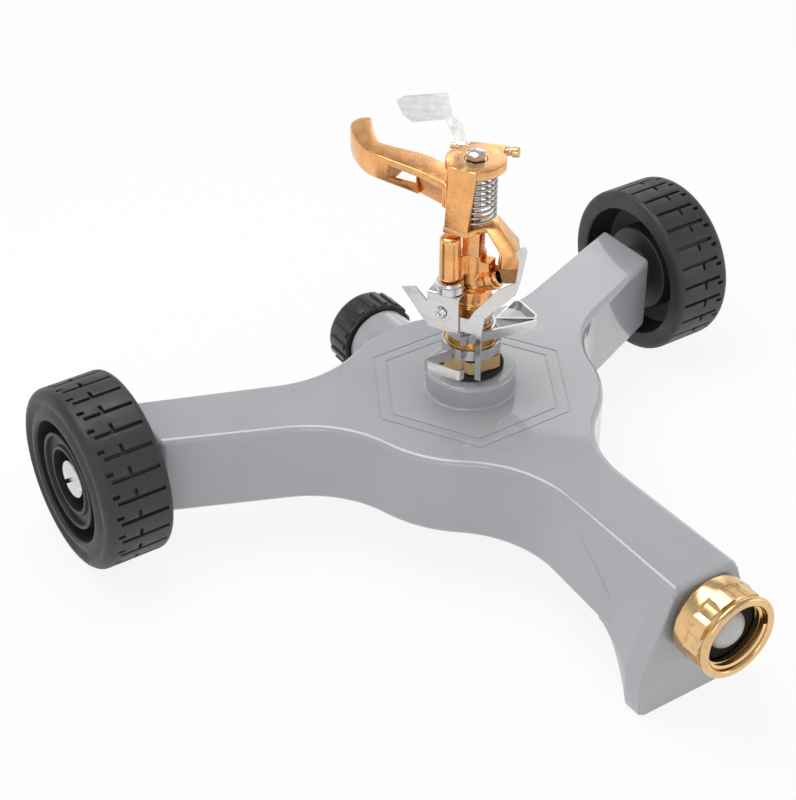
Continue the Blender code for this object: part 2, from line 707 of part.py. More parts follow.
def inlet():
    forward = (0, -1, 0)
    start_y = FRONT_ARM_Y - NIPPLE_SUNK
    coupling_y = FRONT_ARM_Y + COUPLING_GAP
    flange_y = coupling_y + COUPLING_BACK_WALL + SEAT
    tube_end_y = flange_y + NIPPLE_FLANGE
    at = (0, 0, WATER_Z)
    profile = [(NIPPLE_FLANGE_RADIUS, tube_end_y), (NIPPLE_FLANGE_RADIUS, flange_y),
               (NIPPLE_RADIUS, flange_y), (NIPPLE_RADIUS, start_y),
               (NIPPLE_BORE, start_y), (NIPPLE_BORE, tube_end_y)]
    turned("inlet_nipple", profile, at, forward, SLED, BRASS, 24, ring=True)
    front_y = coupling_y + COUPLING_LENGTH
    rim = COUPLING_RADIUS - 0.0008
    profile = [(COUPLING_BORE + 0.0012, front_y), (rim, front_y), (COUPLING_RADIUS, front_y - 0.0008),
               (COUPLING_RADIUS, front_y - 0.0042), (rim, front_y - 0.0050), (rim, coupling_y + 0.0012),
               (rim - 0.0012, coupling_y), (NIPPLE_RADIUS + SEAT, coupling_y),
               (NIPPLE_RADIUS + SEAT, coupling_y + COUPLING_BACK_WALL),
               (COUPLING_BORE, coupling_y + COUPLING_BACK_WALL), (COUPLING_BORE, front_y - 0.0012)]
    axis = frame("coupling_axis", (0, 0, WATER_Z), 0, SLED)
    coupling = turned("hose_coupling", profile, (0, 0, 0), forward, axis, BRASS, 32, ring=True)
    lug_from = coupling_y + 0.0022
    lug_to = front_y - 0.0060
    for n in range(COUPLING_LUGS):
        angle = 2 * math.pi * n / COUPLING_LUGS
        low = (rim - 0.0006, -lug_to, -0.0016)
        high = (COUPLING_RADIUS, -lug_from, 0.0016)
        lug = box("lug", low, high, axis)
        lug.data.transform(Matrix.Rotation(angle, 4, "Y"))
        join(coupling, lug)
    washer_y = tube_end_y + SEAT
    tube("hose_washer", COUPLING_BORE - SEAT, NIPPLE_BORE, washer_y, washer_y + HOSE_WASHER,
         (0, 0, 0), forward, axis, RUBBER, 24)
    screen_y = washer_y + HOSE_WASHER + SEAT
    outer = [(SCREEN_RADIUS * math.cos(math.pi / 2 * n / 4),
              screen_y + 0.0010 + (SCREEN_HEIGHT - 0.0010) * math.sin(math.pi / 2 * n / 4))
             for n in range(4, -1, -1)]
    skin = 0.0008
    inner = [(max(0, radius - skin), height - skin) for radius, height in reversed(outer)]
    rim_out = [(COUPLING_BORE - 2 * SEAT, screen_y + 0.0010), (COUPLING_BORE - 2 * SEAT, screen_y),
               (SCREEN_RADIUS - skin, screen_y)]
    turned("inlet_screen", outer + rim_out + inner, (0, 0, 0), forward, axis, GREY_PLASTIC, 20)


def rear_cap():
    back = (0, 1, 0)
    axis = frame("cap_axis", (0, 0, WATER_Z), 0, SLED)
    start = NECK_END_Y + SEAT
    end = start + CAP_LENGTH
    bore = NECK_THREAD_RADIUS + PLAY
    profile = [(0, end), (CAP_RADIUS - 0.0018, end), (CAP_RADIUS - 0.0004, end - 0.0014),
               (CAP_RADIUS - 0.0006, start), (bore, start), (bore, end - CAP_WALL), (0, end - CAP_WALL)]
    cap = turned("end_cap", profile, (0, 0, 0), back, axis, BLACK_PLASTIC, 36)
    ribs = rod("ribs", (0, start + 0.0008, 0), (0, end - 0.0022, 0), CAP_RADIUS, axis, sides=CAP_RIBS * 2)
    for n in range(CAP_RIBS):
        angle = 2 * math.pi * (n + 0.25) / CAP_RIBS
        half = CAP_RADIUS * math.pi / CAP_RIBS / 2
        low = (CAP_RADIUS - 0.0009, start - 0.001, -half)
        groove = box("groove", low, (CAP_RADIUS + 0.001, end, half), axis)
        groove.data.transform(Matrix.Rotation(angle, 4, "Y"))
        cut(ribs, groove)
    core = rod("core", (0, start - 0.001, 0), (0, end, 0), CAP_RADIUS - 0.0016, axis, sides=48)
    cut(ribs, core)
    join(cap, ribs)
    washer = end - CAP_WALL - SEAT
    turned("cap_washer", [(0, washer), (bore - SEAT, washer), (bore - SEAT, NECK_THREAD_END_Y + SEAT),
                          (0, NECK_THREAD_END_Y + SEAT)], (0, 0, 0), back, axis, RUBBER, 24)


# Wheels, each with its shoulder bolt, washer and spacer

def wheel_profile():
    """From the outer face's rim into the recess, through the bore, over the back and the tread."""
    width = WHEEL_WIDTH
    shoulder = arc((WHEEL_RADIUS - 0.0040, width - 0.0040), 0.0040, 0, math.pi / 2, 2)
    web_front = width - WHEEL_WEB_FRONT
    web_back = web_front - WHEEL_WEB
    hub_front = width - WHEEL_HUB_FRONT
    bore = AXLE_RADIUS + PLAY
    front = [(WHEEL_RECESS_RADIUS + 0.0010, width), (WHEEL_RECESS_RADIUS, width - 0.0010),
             (WHEEL_RECESS_RADIUS - 0.0006, web_front)]
    ring = [(RING_RADIUS + 0.0020, web_front), (RING_RADIUS + 0.0018, web_front + RING_HEIGHT),
            (RING_RADIUS, web_front + RING_HEIGHT), (RING_RADIUS - 0.0002, web_front)]
    hub = [(WHEEL_HUB_RADIUS, web_front), (WHEEL_HUB_RADIUS, hub_front), (bore, hub_front), (bore, SEAT),
           (WHEEL_HUB_RADIUS, SEAT), (WHEEL_HUB_RADIUS + 0.0006, web_back)]
    back = [(WHEEL_BACK_RADIUS - 0.0010, web_back), (WHEEL_BACK_RADIUS, 0)]
    back_shoulder = [(radius, width - height) for radius, height in reversed(shoulder)]
    return front + ring + hub + back + back_shoulder + shoulder


def wheel(side, name):
    outward = (side, 0, 0)
    axis = frame("axle_" + name, (0, AXLE_Y, AXLE_Z), 0, SLED)
    profile = [(radius, WHEEL_INNER_X + height) for radius, height in wheel_profile()]
    body = turned("wheel_" + name, profile, (0, 0, 0), outward, axis, BLACK_PLASTIC,
                  TREAD_GROOVES * 2, ring=True)
    grooves = []
    low_x = WHEEL_INNER_X + GROOVE_MARGIN
    high_x = WHEEL_INNER_X + WHEEL_WIDTH - GROOVE_MARGIN
    for n in range(TREAD_GROOVES):
        angle = 2 * math.pi * (n + 0.25) / TREAD_GROOVES
        low = (side * low_x, -GROOVE_WIDTH / 2, WHEEL_RADIUS - GROOVE_DEPTH)
        high = (side * high_x, GROOVE_WIDTH / 2, WHEEL_RADIUS + GROOVE_DEPTH)
        grooves.append((low, high, angle))

    def build(shape):
        for low, high, angle in grooves:
            size = [abs(b - a) for a, b in zip(low, high)]
            middle = (Vector(low) + Vector(high)) / 2
            place = Matrix.Rotation(angle, 4, "X") @ Matrix.Translation(middle) @ Matrix.Diagonal((*size, 1))
            bmesh.ops.create_cube(shape, size=1, matrix=place)

    cut(body, add("grooves_" + name, mesh_from("grooves", build), axis))
    hub_face = WHEEL_INNER_X + WHEEL_WIDTH - WHEEL_HUB_FRONT
    washer_x = hub_face + SEAT
    head_x = washer_x + AXLE_WASHER + SEAT
    end_x = SIDE_ARM_X - AXLE_ROOT + BOLT_END
    tube("axle_washer_" + name, AXLE_WASHER_RADIUS, AXLE_RADIUS + SEAT, washer_x,
         washer_x + AXLE_WASHER, (0, 0, 0), outward, axis, STAINLESS, 20)
    head_end = head_x + BOLT_HEAD
    bolt = turned("axle_bolt_" + name,
                  [(0, head_end), (BOLT_HEAD_RADIUS - 0.0008, head_end),
                   (BOLT_HEAD_RADIUS, head_end - 0.0008), (BOLT_HEAD_RADIUS, head_x),
                   (AXLE_RADIUS, head_x), (AXLE_RADIUS, end_x), (0, end_x)],
                  (0, 0, 0), outward, axis, STAINLESS, 20)
    slot_low = (side * (head_end - BOLT_SLOT), -BOLT_SLOT / 2, -BOLT_HEAD_RADIUS - 0.001)
    slot_high = (side * (head_end + 0.001), BOLT_SLOT / 2, BOLT_HEAD_RADIUS + 0.001)
    low = [min(a, b) for a, b in zip(slot_low, slot_high)]
    high = [max(a, b) for a, b in zip(slot_low, slot_high)]
    turn = Matrix.Rotation(math.radians(35), 4, "X")
    cut(bolt, box("bolt_slot", low, high, axis, turn=turn))
    spacer_x = SIDE_ARM_X + AXLE_BOSS_OUT + SEAT
    tube("wheel_spacer_" + name, SPACER_RADIUS, AXLE_RADIUS + SEAT, spacer_x, WHEEL_INNER_X,
         (0, 0, 0), outward, axis, STAINLESS, 20)


inlet()
rear_cap()
wheel(1, "right")
wheel(-1, "left")


# Head seat

UP = (0, 0, 1)


def head_seat():
    tube("base_washer", BASE_WASHER_RADIUS, PLUG_RADIUS + SEAT, WASHER_Z, WASHER_Z + BASE_WASHER,
         (0, 0, 0), UP, SLED, RUBBER, 28)
    nut = hexagon("bearing_nut", (0, 0, NUT_Z), (0, 0, LOWER_SEAT_Z), NUT_FLATS, SLED, BRASS, NUT_TURN)
    stem = turned("stem", [(0, NUT_TOP_Z), (UPPER_SEAT_RADIUS, NUT_TOP_Z), (UPPER_SEAT_RADIUS, UPPER_SEAT_Z),
                           (LOWER_SEAT_RADIUS, UPPER_SEAT_Z), (LOWER_SEAT_RADIUS, LOWER_SEAT_Z - 0.001),
                           (PLUG_RADIUS, LOWER_SEAT_Z - 0.001), (PLUG_RADIUS, PLUG_Z), (0, PLUG_Z)],
                  (0, 0, 0), UP, SLED, steps=28)
    join(nut, stem)
    cut(nut, rod("nut_bore", (0, 0, PLUG_Z - 0.001), (0, 0, NUT_TOP_Z + 0.001), NUT_BORE, SLED))
    tube("wear_washer", SLEEVE_FLANGE_RADIUS, SLEEVE_RADIUS + SEAT, FLANGE_TOP_Z + SEAT, PLUG_Z - SEAT,
         (0, 0, 0), UP, HEAD, GREY_PLASTIC, 20)
    sleeve_top = HUB_Z + BODY_SKIRT + 0.002
    flange = FLANGE_TOP_Z - SLEEVE_FLANGE
    turned("bearing_sleeve",
           [(SLEEVE_RADIUS, sleeve_top), (SLEEVE_RADIUS, FLANGE_TOP_Z), (SLEEVE_FLANGE_RADIUS, FLANGE_TOP_Z),
            (SLEEVE_FLANGE_RADIUS, flange), (SLEEVE_BORE, flange), (SLEEVE_BORE, sleeve_top)],
           (0, 0, 0), UP, HEAD, BRASS, 24, ring=True)
    radius = SLEEVE_RADIUS + 2 * SEAT + STAND_SPRING_WIRE
    low = NUT_TOP_Z + SEAT + STAND_SPRING_WIRE / 2
    high = HUB_Z - SEAT - STAND_SPRING_WIRE / 2
    path = coil(radius, low, high, STAND_SPRING_TURNS, 12)
    wire("stand_spring", path, STAND_SPRING_WIRE / 2, HEAD, STAINLESS)
    gap = helix_gap(radius, (high - low) / STAND_SPRING_TURNS, STAND_SPRING_WIRE / 2)
    print("stand spring, least gap between turns", round(gap * 1000, 2), "mm")


def triangle(tip, side, direction):
    """Corners of an equilateral triangle from its tip."""
    corners = [tip]
    for spread in (-math.pi / 6, math.pi / 6):
        angle = direction + spread
        corners.append((tip[0] + side * math.cos(angle), tip[1] + side * math.sin(angle)))
    return corners


def collar(name, bore, low_z, angle, corners, tail=0.0):
    """A strip bent to a ring round its seat, with a three-sided handle and a tail along the
    tangent from the handle's first outer corner."""
    middle = Matrix.Translation((0, 0, low_z + STRIP_HEIGHT / 2))
    axis = frame(name + "_axis", (0, 0, 0), angle, HEAD)
    ring = rod(name, (0, 0, low_z), (0, 0, low_z + STRIP_HEIGHT), bore + STRIP, axis, STAINLESS, sides=32)
    centre = Vector([sum(values) / 3 for values in zip(*corners)])
    scale = 1 - STRIP / (abs((Vector(corners[1]) - Vector(corners[2])).length) / math.sqrt(12))
    inner = [tuple(centre + (Vector(corner) - centre) * scale) for corner in corners]
    handle = plate("handle", [corners, inner], STRIP_HEIGHT, middle, axis)
    join(ring, handle)
    if tail:
        corner = Vector(corners[1])
        radius = bore + STRIP / 2
        reach = math.sqrt(corner.length ** 2 - radius ** 2)
        turn = math.atan2(corner.y, corner.x) - math.atan2(reach, radius)
        touch = Vector((radius * math.cos(turn), radius * math.sin(turn)))
        along = (touch - corner).normalized()
        across = Vector((-along.y, along.x)) * STRIP / 2
        start = corner + along * STRIP
        end = touch + along * tail
        strip = [tuple(start + across), tuple(start - across), tuple(end - across), tuple(end + across)]
        join(ring, plate("tail", [strip], STRIP_HEIGHT - 0.0002, middle, axis))
    cut(ring, rod("collar_bore", (0, 0, low_z - 0.001), (0, 0, low_z + STRIP_HEIGHT + 0.001), bore, axis,
                  sides=32))
    return ring


def trip_collars():
    bore = UPPER_SEAT_RADIUS + SEAT
    corners = triangle((bore + STRIP / 2, 0), UPPER_HANDLE_SIDE, UPPER_HANDLE_SKEW)
    collar("trip_collar_upper", bore, UPPER_SEAT_Z + COLLAR_RAISE, UPPER_HANDLE_ANGLE, corners, UPPER_TAIL)
    bore = LOWER_SEAT_RADIUS + SEAT
    tip = LOWER_HANDLE_REACH - LOWER_HANDLE_SIDE * math.sqrt(3) / 2
    corners = triangle((tip, 0), LOWER_HANDLE_SIDE, 0)
    collar("trip_collar_lower", bore, LOWER_SEAT_Z + SEAT, LOWER_HANDLE_ANGLE, corners)


head_seat()
trip_collars()


# Head body with its nozzle, pin and bush

def along_barrel(distance):
    start_z = HUB_TOP_Z + BARREL_RISE
    return (distance * math.cos(BARREL_TILT), 0, start_z + distance * math.sin(BARREL_TILT))


def head_body():
    hub_round = 0.0006
    body = turned("head_body",
                  [(0, POST_TOP_Z), (POST_RADIUS - hub_round, POST_TOP_Z),
                   (POST_RADIUS, POST_TOP_Z - hub_round), (POST_RADIUS, HUB_TOP_Z + SEAT / 2),
                   (BODY_NECK_RADIUS, HUB_TOP_Z), (BODY_NECK_RADIUS, HUB_Z + BODY_SKIRT + 0.0015),
                   (BODY_HUB_RADIUS, HUB_Z + BODY_SKIRT), (BODY_HUB_RADIUS, HUB_Z + hub_round),
                   (BODY_HUB_RADIUS - hub_round, HUB_Z), (0, HUB_Z)],
                  (0, 0, 0), UP, HEAD, BRONZE, 28)
    column = turned("column", [(0, COLUMN_TOP_Z), (COLUMN_RADIUS * 0.6, COLUMN_TOP_Z - 0.0003),
                               (COLUMN_RADIUS, COLUMN_TOP_Z - 0.0018), (COLUMN_RADIUS, COLUMN_Z + 0.0012),
                               (COLUMN_RADIUS - 0.0008, COLUMN_Z), (0, COLUMN_Z)],
                    (COLUMN_U, COLUMN_V, 0), UP, HEAD, steps=24)
    angle = math.atan2(COLUMN_V, COLUMN_U)
    run = math.hypot(COLUMN_U, COLUMN_V)
    web = box("web", (run * 0.1, -WEB_THICKNESS / 2, COLUMN_Z + 0.0008),
              (run, WEB_THICKNESS / 2, COLUMN_Z + WEB_HEIGHT), HEAD)
    web.data.transform(Matrix.Rotation(angle, 4, "Z"))
    barrel = rod("barrel", along_barrel(-0.001), along_barrel(BARREL_LENGTH), BARREL_RADIUS, HEAD,
                 sides=24, end_radius=BARREL_RADIUS * 0.97)
    cheek = box("cheek", (-POST_RADIUS * 0.8, -0.0030, HUB_TOP_Z + 0.0060),
                (POST_RADIUS + 0.0030, 0.0030, POST_TOP_Z - 0.0030), HEAD)
    join(body, column, web, barrel, cheek)
    bore_top = HUB_Z + BODY_SKIRT + 0.002 + SEAT
    cut(body,
        rod("sleeve_bore", (0, 0, HUB_Z - 0.001), (0, 0, bore_top), SLEEVE_RADIUS + SEAT, HEAD),
        rod("channel", (0, 0, bore_top - 0.001), (0, 0, HUB_TOP_Z + BARREL_RISE), SLEEVE_BORE, HEAD,
            sides=20),
        rod("barrel_bore", along_barrel(0), along_barrel(BARREL_LENGTH + 0.002), CHANNEL_RADIUS, HEAD,
            sides=20),
        rod("nozzle_seat", along_barrel(BARREL_LENGTH - NOZZLE_SEAT), along_barrel(BARREL_LENGTH + 0.004),
            NOZZLE_RADIUS + SEAT, HEAD, sides=24),
        rod("pin_seat", (0, 0, POST_TOP_Z - PIN_SUNK - SEAT), (0, 0, POST_TOP_Z + 0.001), PIN_RADIUS + SEAT,
            HEAD, sides=16),
        rod("screw_hole", (COLUMN_U, COLUMN_V, COLUMN_Z - 0.001),
            (COLUMN_U, COLUMN_V, COLUMN_Z + SCREW_REACH + SEAT), SCREW_RADIUS + SEAT, HEAD, sides=16))
    nozzle = rod("nozzle", along_barrel(BARREL_LENGTH - NOZZLE_SEAT + SEAT),
                 along_barrel(BARREL_LENGTH + NOZZLE_OUT), NOZZLE_RADIUS, HEAD, BRASS, sides=24)
    cut(nozzle, rod("nozzle_bore", along_barrel(0), along_barrel(BARREL_LENGTH + 0.005), NOZZLE_BORE, HEAD,
                    sides=16))
    pin = rod("fulcrum_pin", (0, 0, POST_TOP_Z - PIN_SUNK), (0, 0, ARM_TOP_Z + SEAT + 0.001), PIN_RADIUS,
              HEAD, STAINLESS, sides=16)
    join(pin, hexagon("pin_head", (0, 0, ARM_TOP_Z + SEAT), (0, 0, ARM_TOP_Z + SEAT + PIN_HEAD),
                      PIN_HEAD_FLATS, HEAD, turn=math.radians(20)))


head_body()


# Impact arm, one casting: disc, cage wall, lower plate with boss and lug, weighted beam, spoon

def turned_view(right, back, turn=VIEW_TURN):
    """From directions turned on the head's axis, right and back, to the head's u and v."""
    cosine = math.cos(turn)
    sine = math.sin(turn)
    return right * cosine - back * sine, right * sine + back * cosine


def spoon_section(right, near, back, z, foot=0.0):
    left = right - SPOON_WIDTH
    corners = [(left + foot, -near), (right, -near), (right, back), (left, back)]
    return [(*turned_view(*corner), z) for corner in corners]


def impact_arm():
    arm = rod("impact_arm", (0, 0, DISC_Z), (0, 0, ARM_TOP_Z), DISC_RADIUS, HEAD, BRONZE, sides=36)
    wall_top = ARM_TOP_Z - SEAT / 6
    wall_line = [(CAGE_FOOT_LEFT, PLATE_Z + 0.0004), (CAGE_FOOT_RIGHT, PLATE_Z + 0.0004),
                 (CAGE_TOP_HALF, wall_top), (-CAGE_TOP_HALF, wall_top)]
    wall = plate("wall", [wall_line], CAGE_WALL, upright(CAGE_FACE_V + CAGE_WALL / 2), HEAD)
    root = SPOON_ROOT[0]
    root_right = root + SPOON_WIDTH * 0.8
    floor = [(CAGE_FOOT_LEFT - 0.0002, CAGE_FACE_V - 0.0002),
             (CAGE_FOOT_RIGHT + 0.0002, CAGE_FACE_V - 0.0002),
             turned_view(root, -SPOON_ROOT[1]), turned_view(root_right, -SPOON_ROOT[1]),
             turned_view(root_right, SPOON_DEPTH), turned_view(root, SPOON_DEPTH),
             (-ARM_BOSS_RADIUS, ARM_BOSS_RADIUS * 0.8), (-ARM_BOSS_RADIUS * 1.3, 0)]
    middle = Matrix.Translation((0, 0, PLATE_Z + CAGE_PLATE / 2))
    lower = plate("lower_plate", [floor], CAGE_PLATE, middle, HEAD)
    boss = rod("arm_boss", (0, 0, BOSS_FOOT_Z), (0, 0, PLATE_Z + 0.001), ARM_BOSS_RADIUS, HEAD, sides=20)
    lug_start = COLUMN_U + math.sqrt((COLUMN_RADIUS + SEAT) ** 2 - (LUG_V[0] - COLUMN_V) ** 2)
    lug = box("lug", (lug_start, LUG_V[0], PLATE_Z - LUG_HEIGHT),
              (lug_start + LUG_LENGTH, LUG_V[1], PLATE_Z + 0.001), HEAD)
    middle = Matrix.Translation((0, 0, BEAM_TOP_Z - BEAM_HEIGHT / 2))
    beam = plate("beam", [(BEAM_NEAR_SIDE + BEAM_FAR_SIDE)[::-1]], BEAM_HEIGHT, middle, HEAD)
    round_edges(beam, 0.0010, 1)
    slope_foot_z = PLATE_TOP_Z - SPOON_SLOPE
    ledge_foot_z = slope_foot_z - LEDGE
    spoon = loft("spoon", [
        spoon_section(root_right, SPOON_ROOT[1], SPOON_DEPTH, PLATE_TOP_Z - 0.0002, SPOON_WIDTH * 0.2),
        spoon_section(SPOON_REACH, SPOON_LIP, SPOON_DEPTH, slope_foot_z),
        spoon_section(SPOON_REACH, SPOON_LIP, SPOON_DEPTH, ledge_foot_z),
        spoon_section(SPOON_REACH - 0.0010, SPOON_LIP - 0.0032, SPOON_DEPTH - 0.0010,
                      ledge_foot_z - SPOON_FOOT)], HEAD)
    swept = BARREL_LENGTH + NOZZLE_OUT + 2 * PLAY
    clear_z = ledge_foot_z - SEAT
    hollow = rod("spoon_hollow", (0, 0, clear_z - 0.02), (0, 0, clear_z), swept, HEAD, sides=40)
    keep = box("hollow_side", (-0.02, SPOON_BACK_V, clear_z - 0.03), (0.04, 0.04, clear_z + 0.01), HEAD)
    cut(hollow, keep)
    cut(spoon, hollow)
    boss_left = -FLAP_PIN_LEFT + FLAP_STRIP_WIDTH + SEAT + PLAY
    boss_right = FLAP_PIN_RIGHT - KNOB_SUNK - PLAY
    pin_turn = Matrix.Rotation(FLAP_PIN_TURN, 4, "Z")
    pin_boss = box("pin_boss", (boss_left, DISC_RADIUS * 0.5, DISC_Z + SEAT),
                   (boss_right, FLAP_PIN_BACK + PIN_BOSS, ARM_TOP_Z - SEAT), HEAD)
    pin_boss.data.transform(pin_turn)
    barrel_reach = FLAP_PIN_RADIUS + FLAP_SHEET + 2 * SEAT + PLAY
    barrel_gap = box("barrel_gap", (-2 * FLAP_PIN_LEFT, FLAP_PIN_BACK - barrel_reach, DISC_Z - 0.001),
                     (boss_left, 2 * FLAP_PIN_BACK, ARM_TOP_Z + 0.001), HEAD)
    barrel_gap.data.transform(pin_turn)
    flat_front = box("flat_front", (-DISC_RADIUS, -2 * DISC_RADIUS, DISC_Z - 0.001),
                     (DISC_RADIUS, CAGE_FACE_V + SEAT / 6, ARM_TOP_Z + 0.001), HEAD)
    cut(arm, barrel_gap, flat_front)
    join(arm, wall, lower, boss, lug, beam, spoon, pin_boss)
    window_top = BEAM_TOP_Z - WINDOW_TOP
    rail_top = BEAM_TOP_Z - BEAM_HEIGHT + RAIL_HEIGHT
    left, right = WINDOW_U
    over_rail = box("window", (left, -0.02, rail_top), (right, 0.02, window_top), HEAD)
    behind_rail = box("window_back", (left, RAIL_BACK_V, rail_top - 0.01),
                      (right, 0.021, window_top - SEAT / 3), HEAD)
    pin_bore = rod("pin_bore", (0, 0, BOSS_FOOT_Z - 0.001), (0, 0, PLATE_TOP_Z + 0.001),
                   PIN_RADIUS + SEAT, HEAD, sides=20)
    bush_bore = rod("bush_bore", (0, 0, DISC_Z - 0.001), (0, 0, ARM_TOP_Z + 0.001),
                    BUSH_RADIUS + SEAT, HEAD, sides=24)
    left_end = (*turned_view(-FLAP_PIN_LEFT - 0.002, FLAP_PIN_BACK, FLAP_PIN_TURN), FLAP_PIN_Z)
    right_end = (*turned_view(FLAP_PIN_RIGHT + 0.002, FLAP_PIN_BACK, FLAP_PIN_TURN), FLAP_PIN_Z)
    pin_way = rod("pin_way", left_end, right_end, FLAP_PIN_RADIUS + SEAT, HEAD, sides=16)
    cut(arm, over_rail, behind_rail, pin_bore, bush_bore, pin_way)
    tube("arm_bush", BUSH_RADIUS, PIN_RADIUS + SEAT, DISC_Z, ARM_TOP_Z, (0, 0, 0), UP, HEAD, BRASS, 20)


def arm_spring():
    radius = ARM_SPRING_RADIUS
    low = PLATE_TOP_Z + SEAT + ARM_SPRING_WIRE / 2
    high = DISC_Z - SEAT - ARM_SPRING_WIRE / 2
    path = coil(radius, low, high, ARM_SPRING_TURNS, 10, math.radians(90))
    wire("arm_spring", path, ARM_SPRING_WIRE / 2, HEAD, STAINLESS)
    gap = helix_gap(radius, (high - low) / ARM_SPRING_TURNS, ARM_SPRING_WIRE / 2)
    print("arm spring, least gap between turns", round(gap * 1000, 2), "mm")


def flap():
    u, v = turned_view(0, FLAP_PIN_BACK, FLAP_PIN_TURN)
    axis = frame("flap_axis", (u, v, FLAP_PIN_Z), FLAP_PIN_TURN, HEAD)
    rod("flap_pin", (-FLAP_PIN_LEFT, 0, 0), (FLAP_PIN_RIGHT, 0, 0), FLAP_PIN_RADIUS, axis, STAINLESS,
        sides=16)
    knob_start = FLAP_PIN_RIGHT - KNOB_SUNK
    profile = [(KNOB_RADIUS - 0.0004, knob_start + KNOB_LENGTH),
               (KNOB_RADIUS, knob_start + KNOB_LENGTH - 0.0004),
               (KNOB_RADIUS, knob_start), (FLAP_PIN_RADIUS + SEAT, knob_start),
               (FLAP_PIN_RADIUS + SEAT, FLAP_PIN_RIGHT + SEAT), (0, FLAP_PIN_RIGHT + SEAT)]
    turned("flap_knob", [(0, knob_start + KNOB_LENGTH)] + profile, (0, 0, 0), (1, 0, 0), axis, BRASS, 20)
    leaning = frame("flap_lean", (0, 0, 0), 0, axis)
    leaning.rotation_euler = (-FLAP_TILT, 0, 0)
    left = -FLAP_PIN_LEFT
    right = left + FLAP_STRIP_WIDTH
    top = FLAP_STRIP_LENGTH + FLAP_PADDLE_HEIGHT
    end = left - FLAP_LEAN - FLAP_PADDLE_LENGTH + FLAP_NOSE[0][0]
    foot = FLAP_PIN_RADIUS + SEAT + FLAP_SHEET / 4
    nose = [(end + x, FLAP_STRIP_LENGTH + z) for x, z in FLAP_NOSE]
    outline = [(left, foot), (right, foot), (right - FLAP_LEAN * 0.6, FLAP_STRIP_LENGTH * 0.92),
               (right - FLAP_LEAN * 1.3, FLAP_STRIP_LENGTH * 1.13), (left - FLAP_LEAN, top)]
    outline += nose[1:] + [(left - FLAP_LEAN, FLAP_STRIP_LENGTH)]
    flap_sheet = plate("deflector_flap", [outline], FLAP_SHEET, upright(0), leaning, STAINLESS)
    barrel = rod("flap_barrel", (left + SEAT / 2, 0, 0), (right - SEAT / 2, 0, 0),
                 FLAP_PIN_RADIUS + SEAT + FLAP_SHEET, leaning, sides=20)
    join(flap_sheet, barrel)
    cut(flap_sheet, rod("flap_bore", (left - 0.001, 0, 0), (right + 0.001, 0, 0), FLAP_PIN_RADIUS + SEAT,
                        leaning, sides=16))


impact_arm()
arm_spring()
flap()


# Trip mechanism: bracket with its nut and screw, lever, rivet and toggle spring

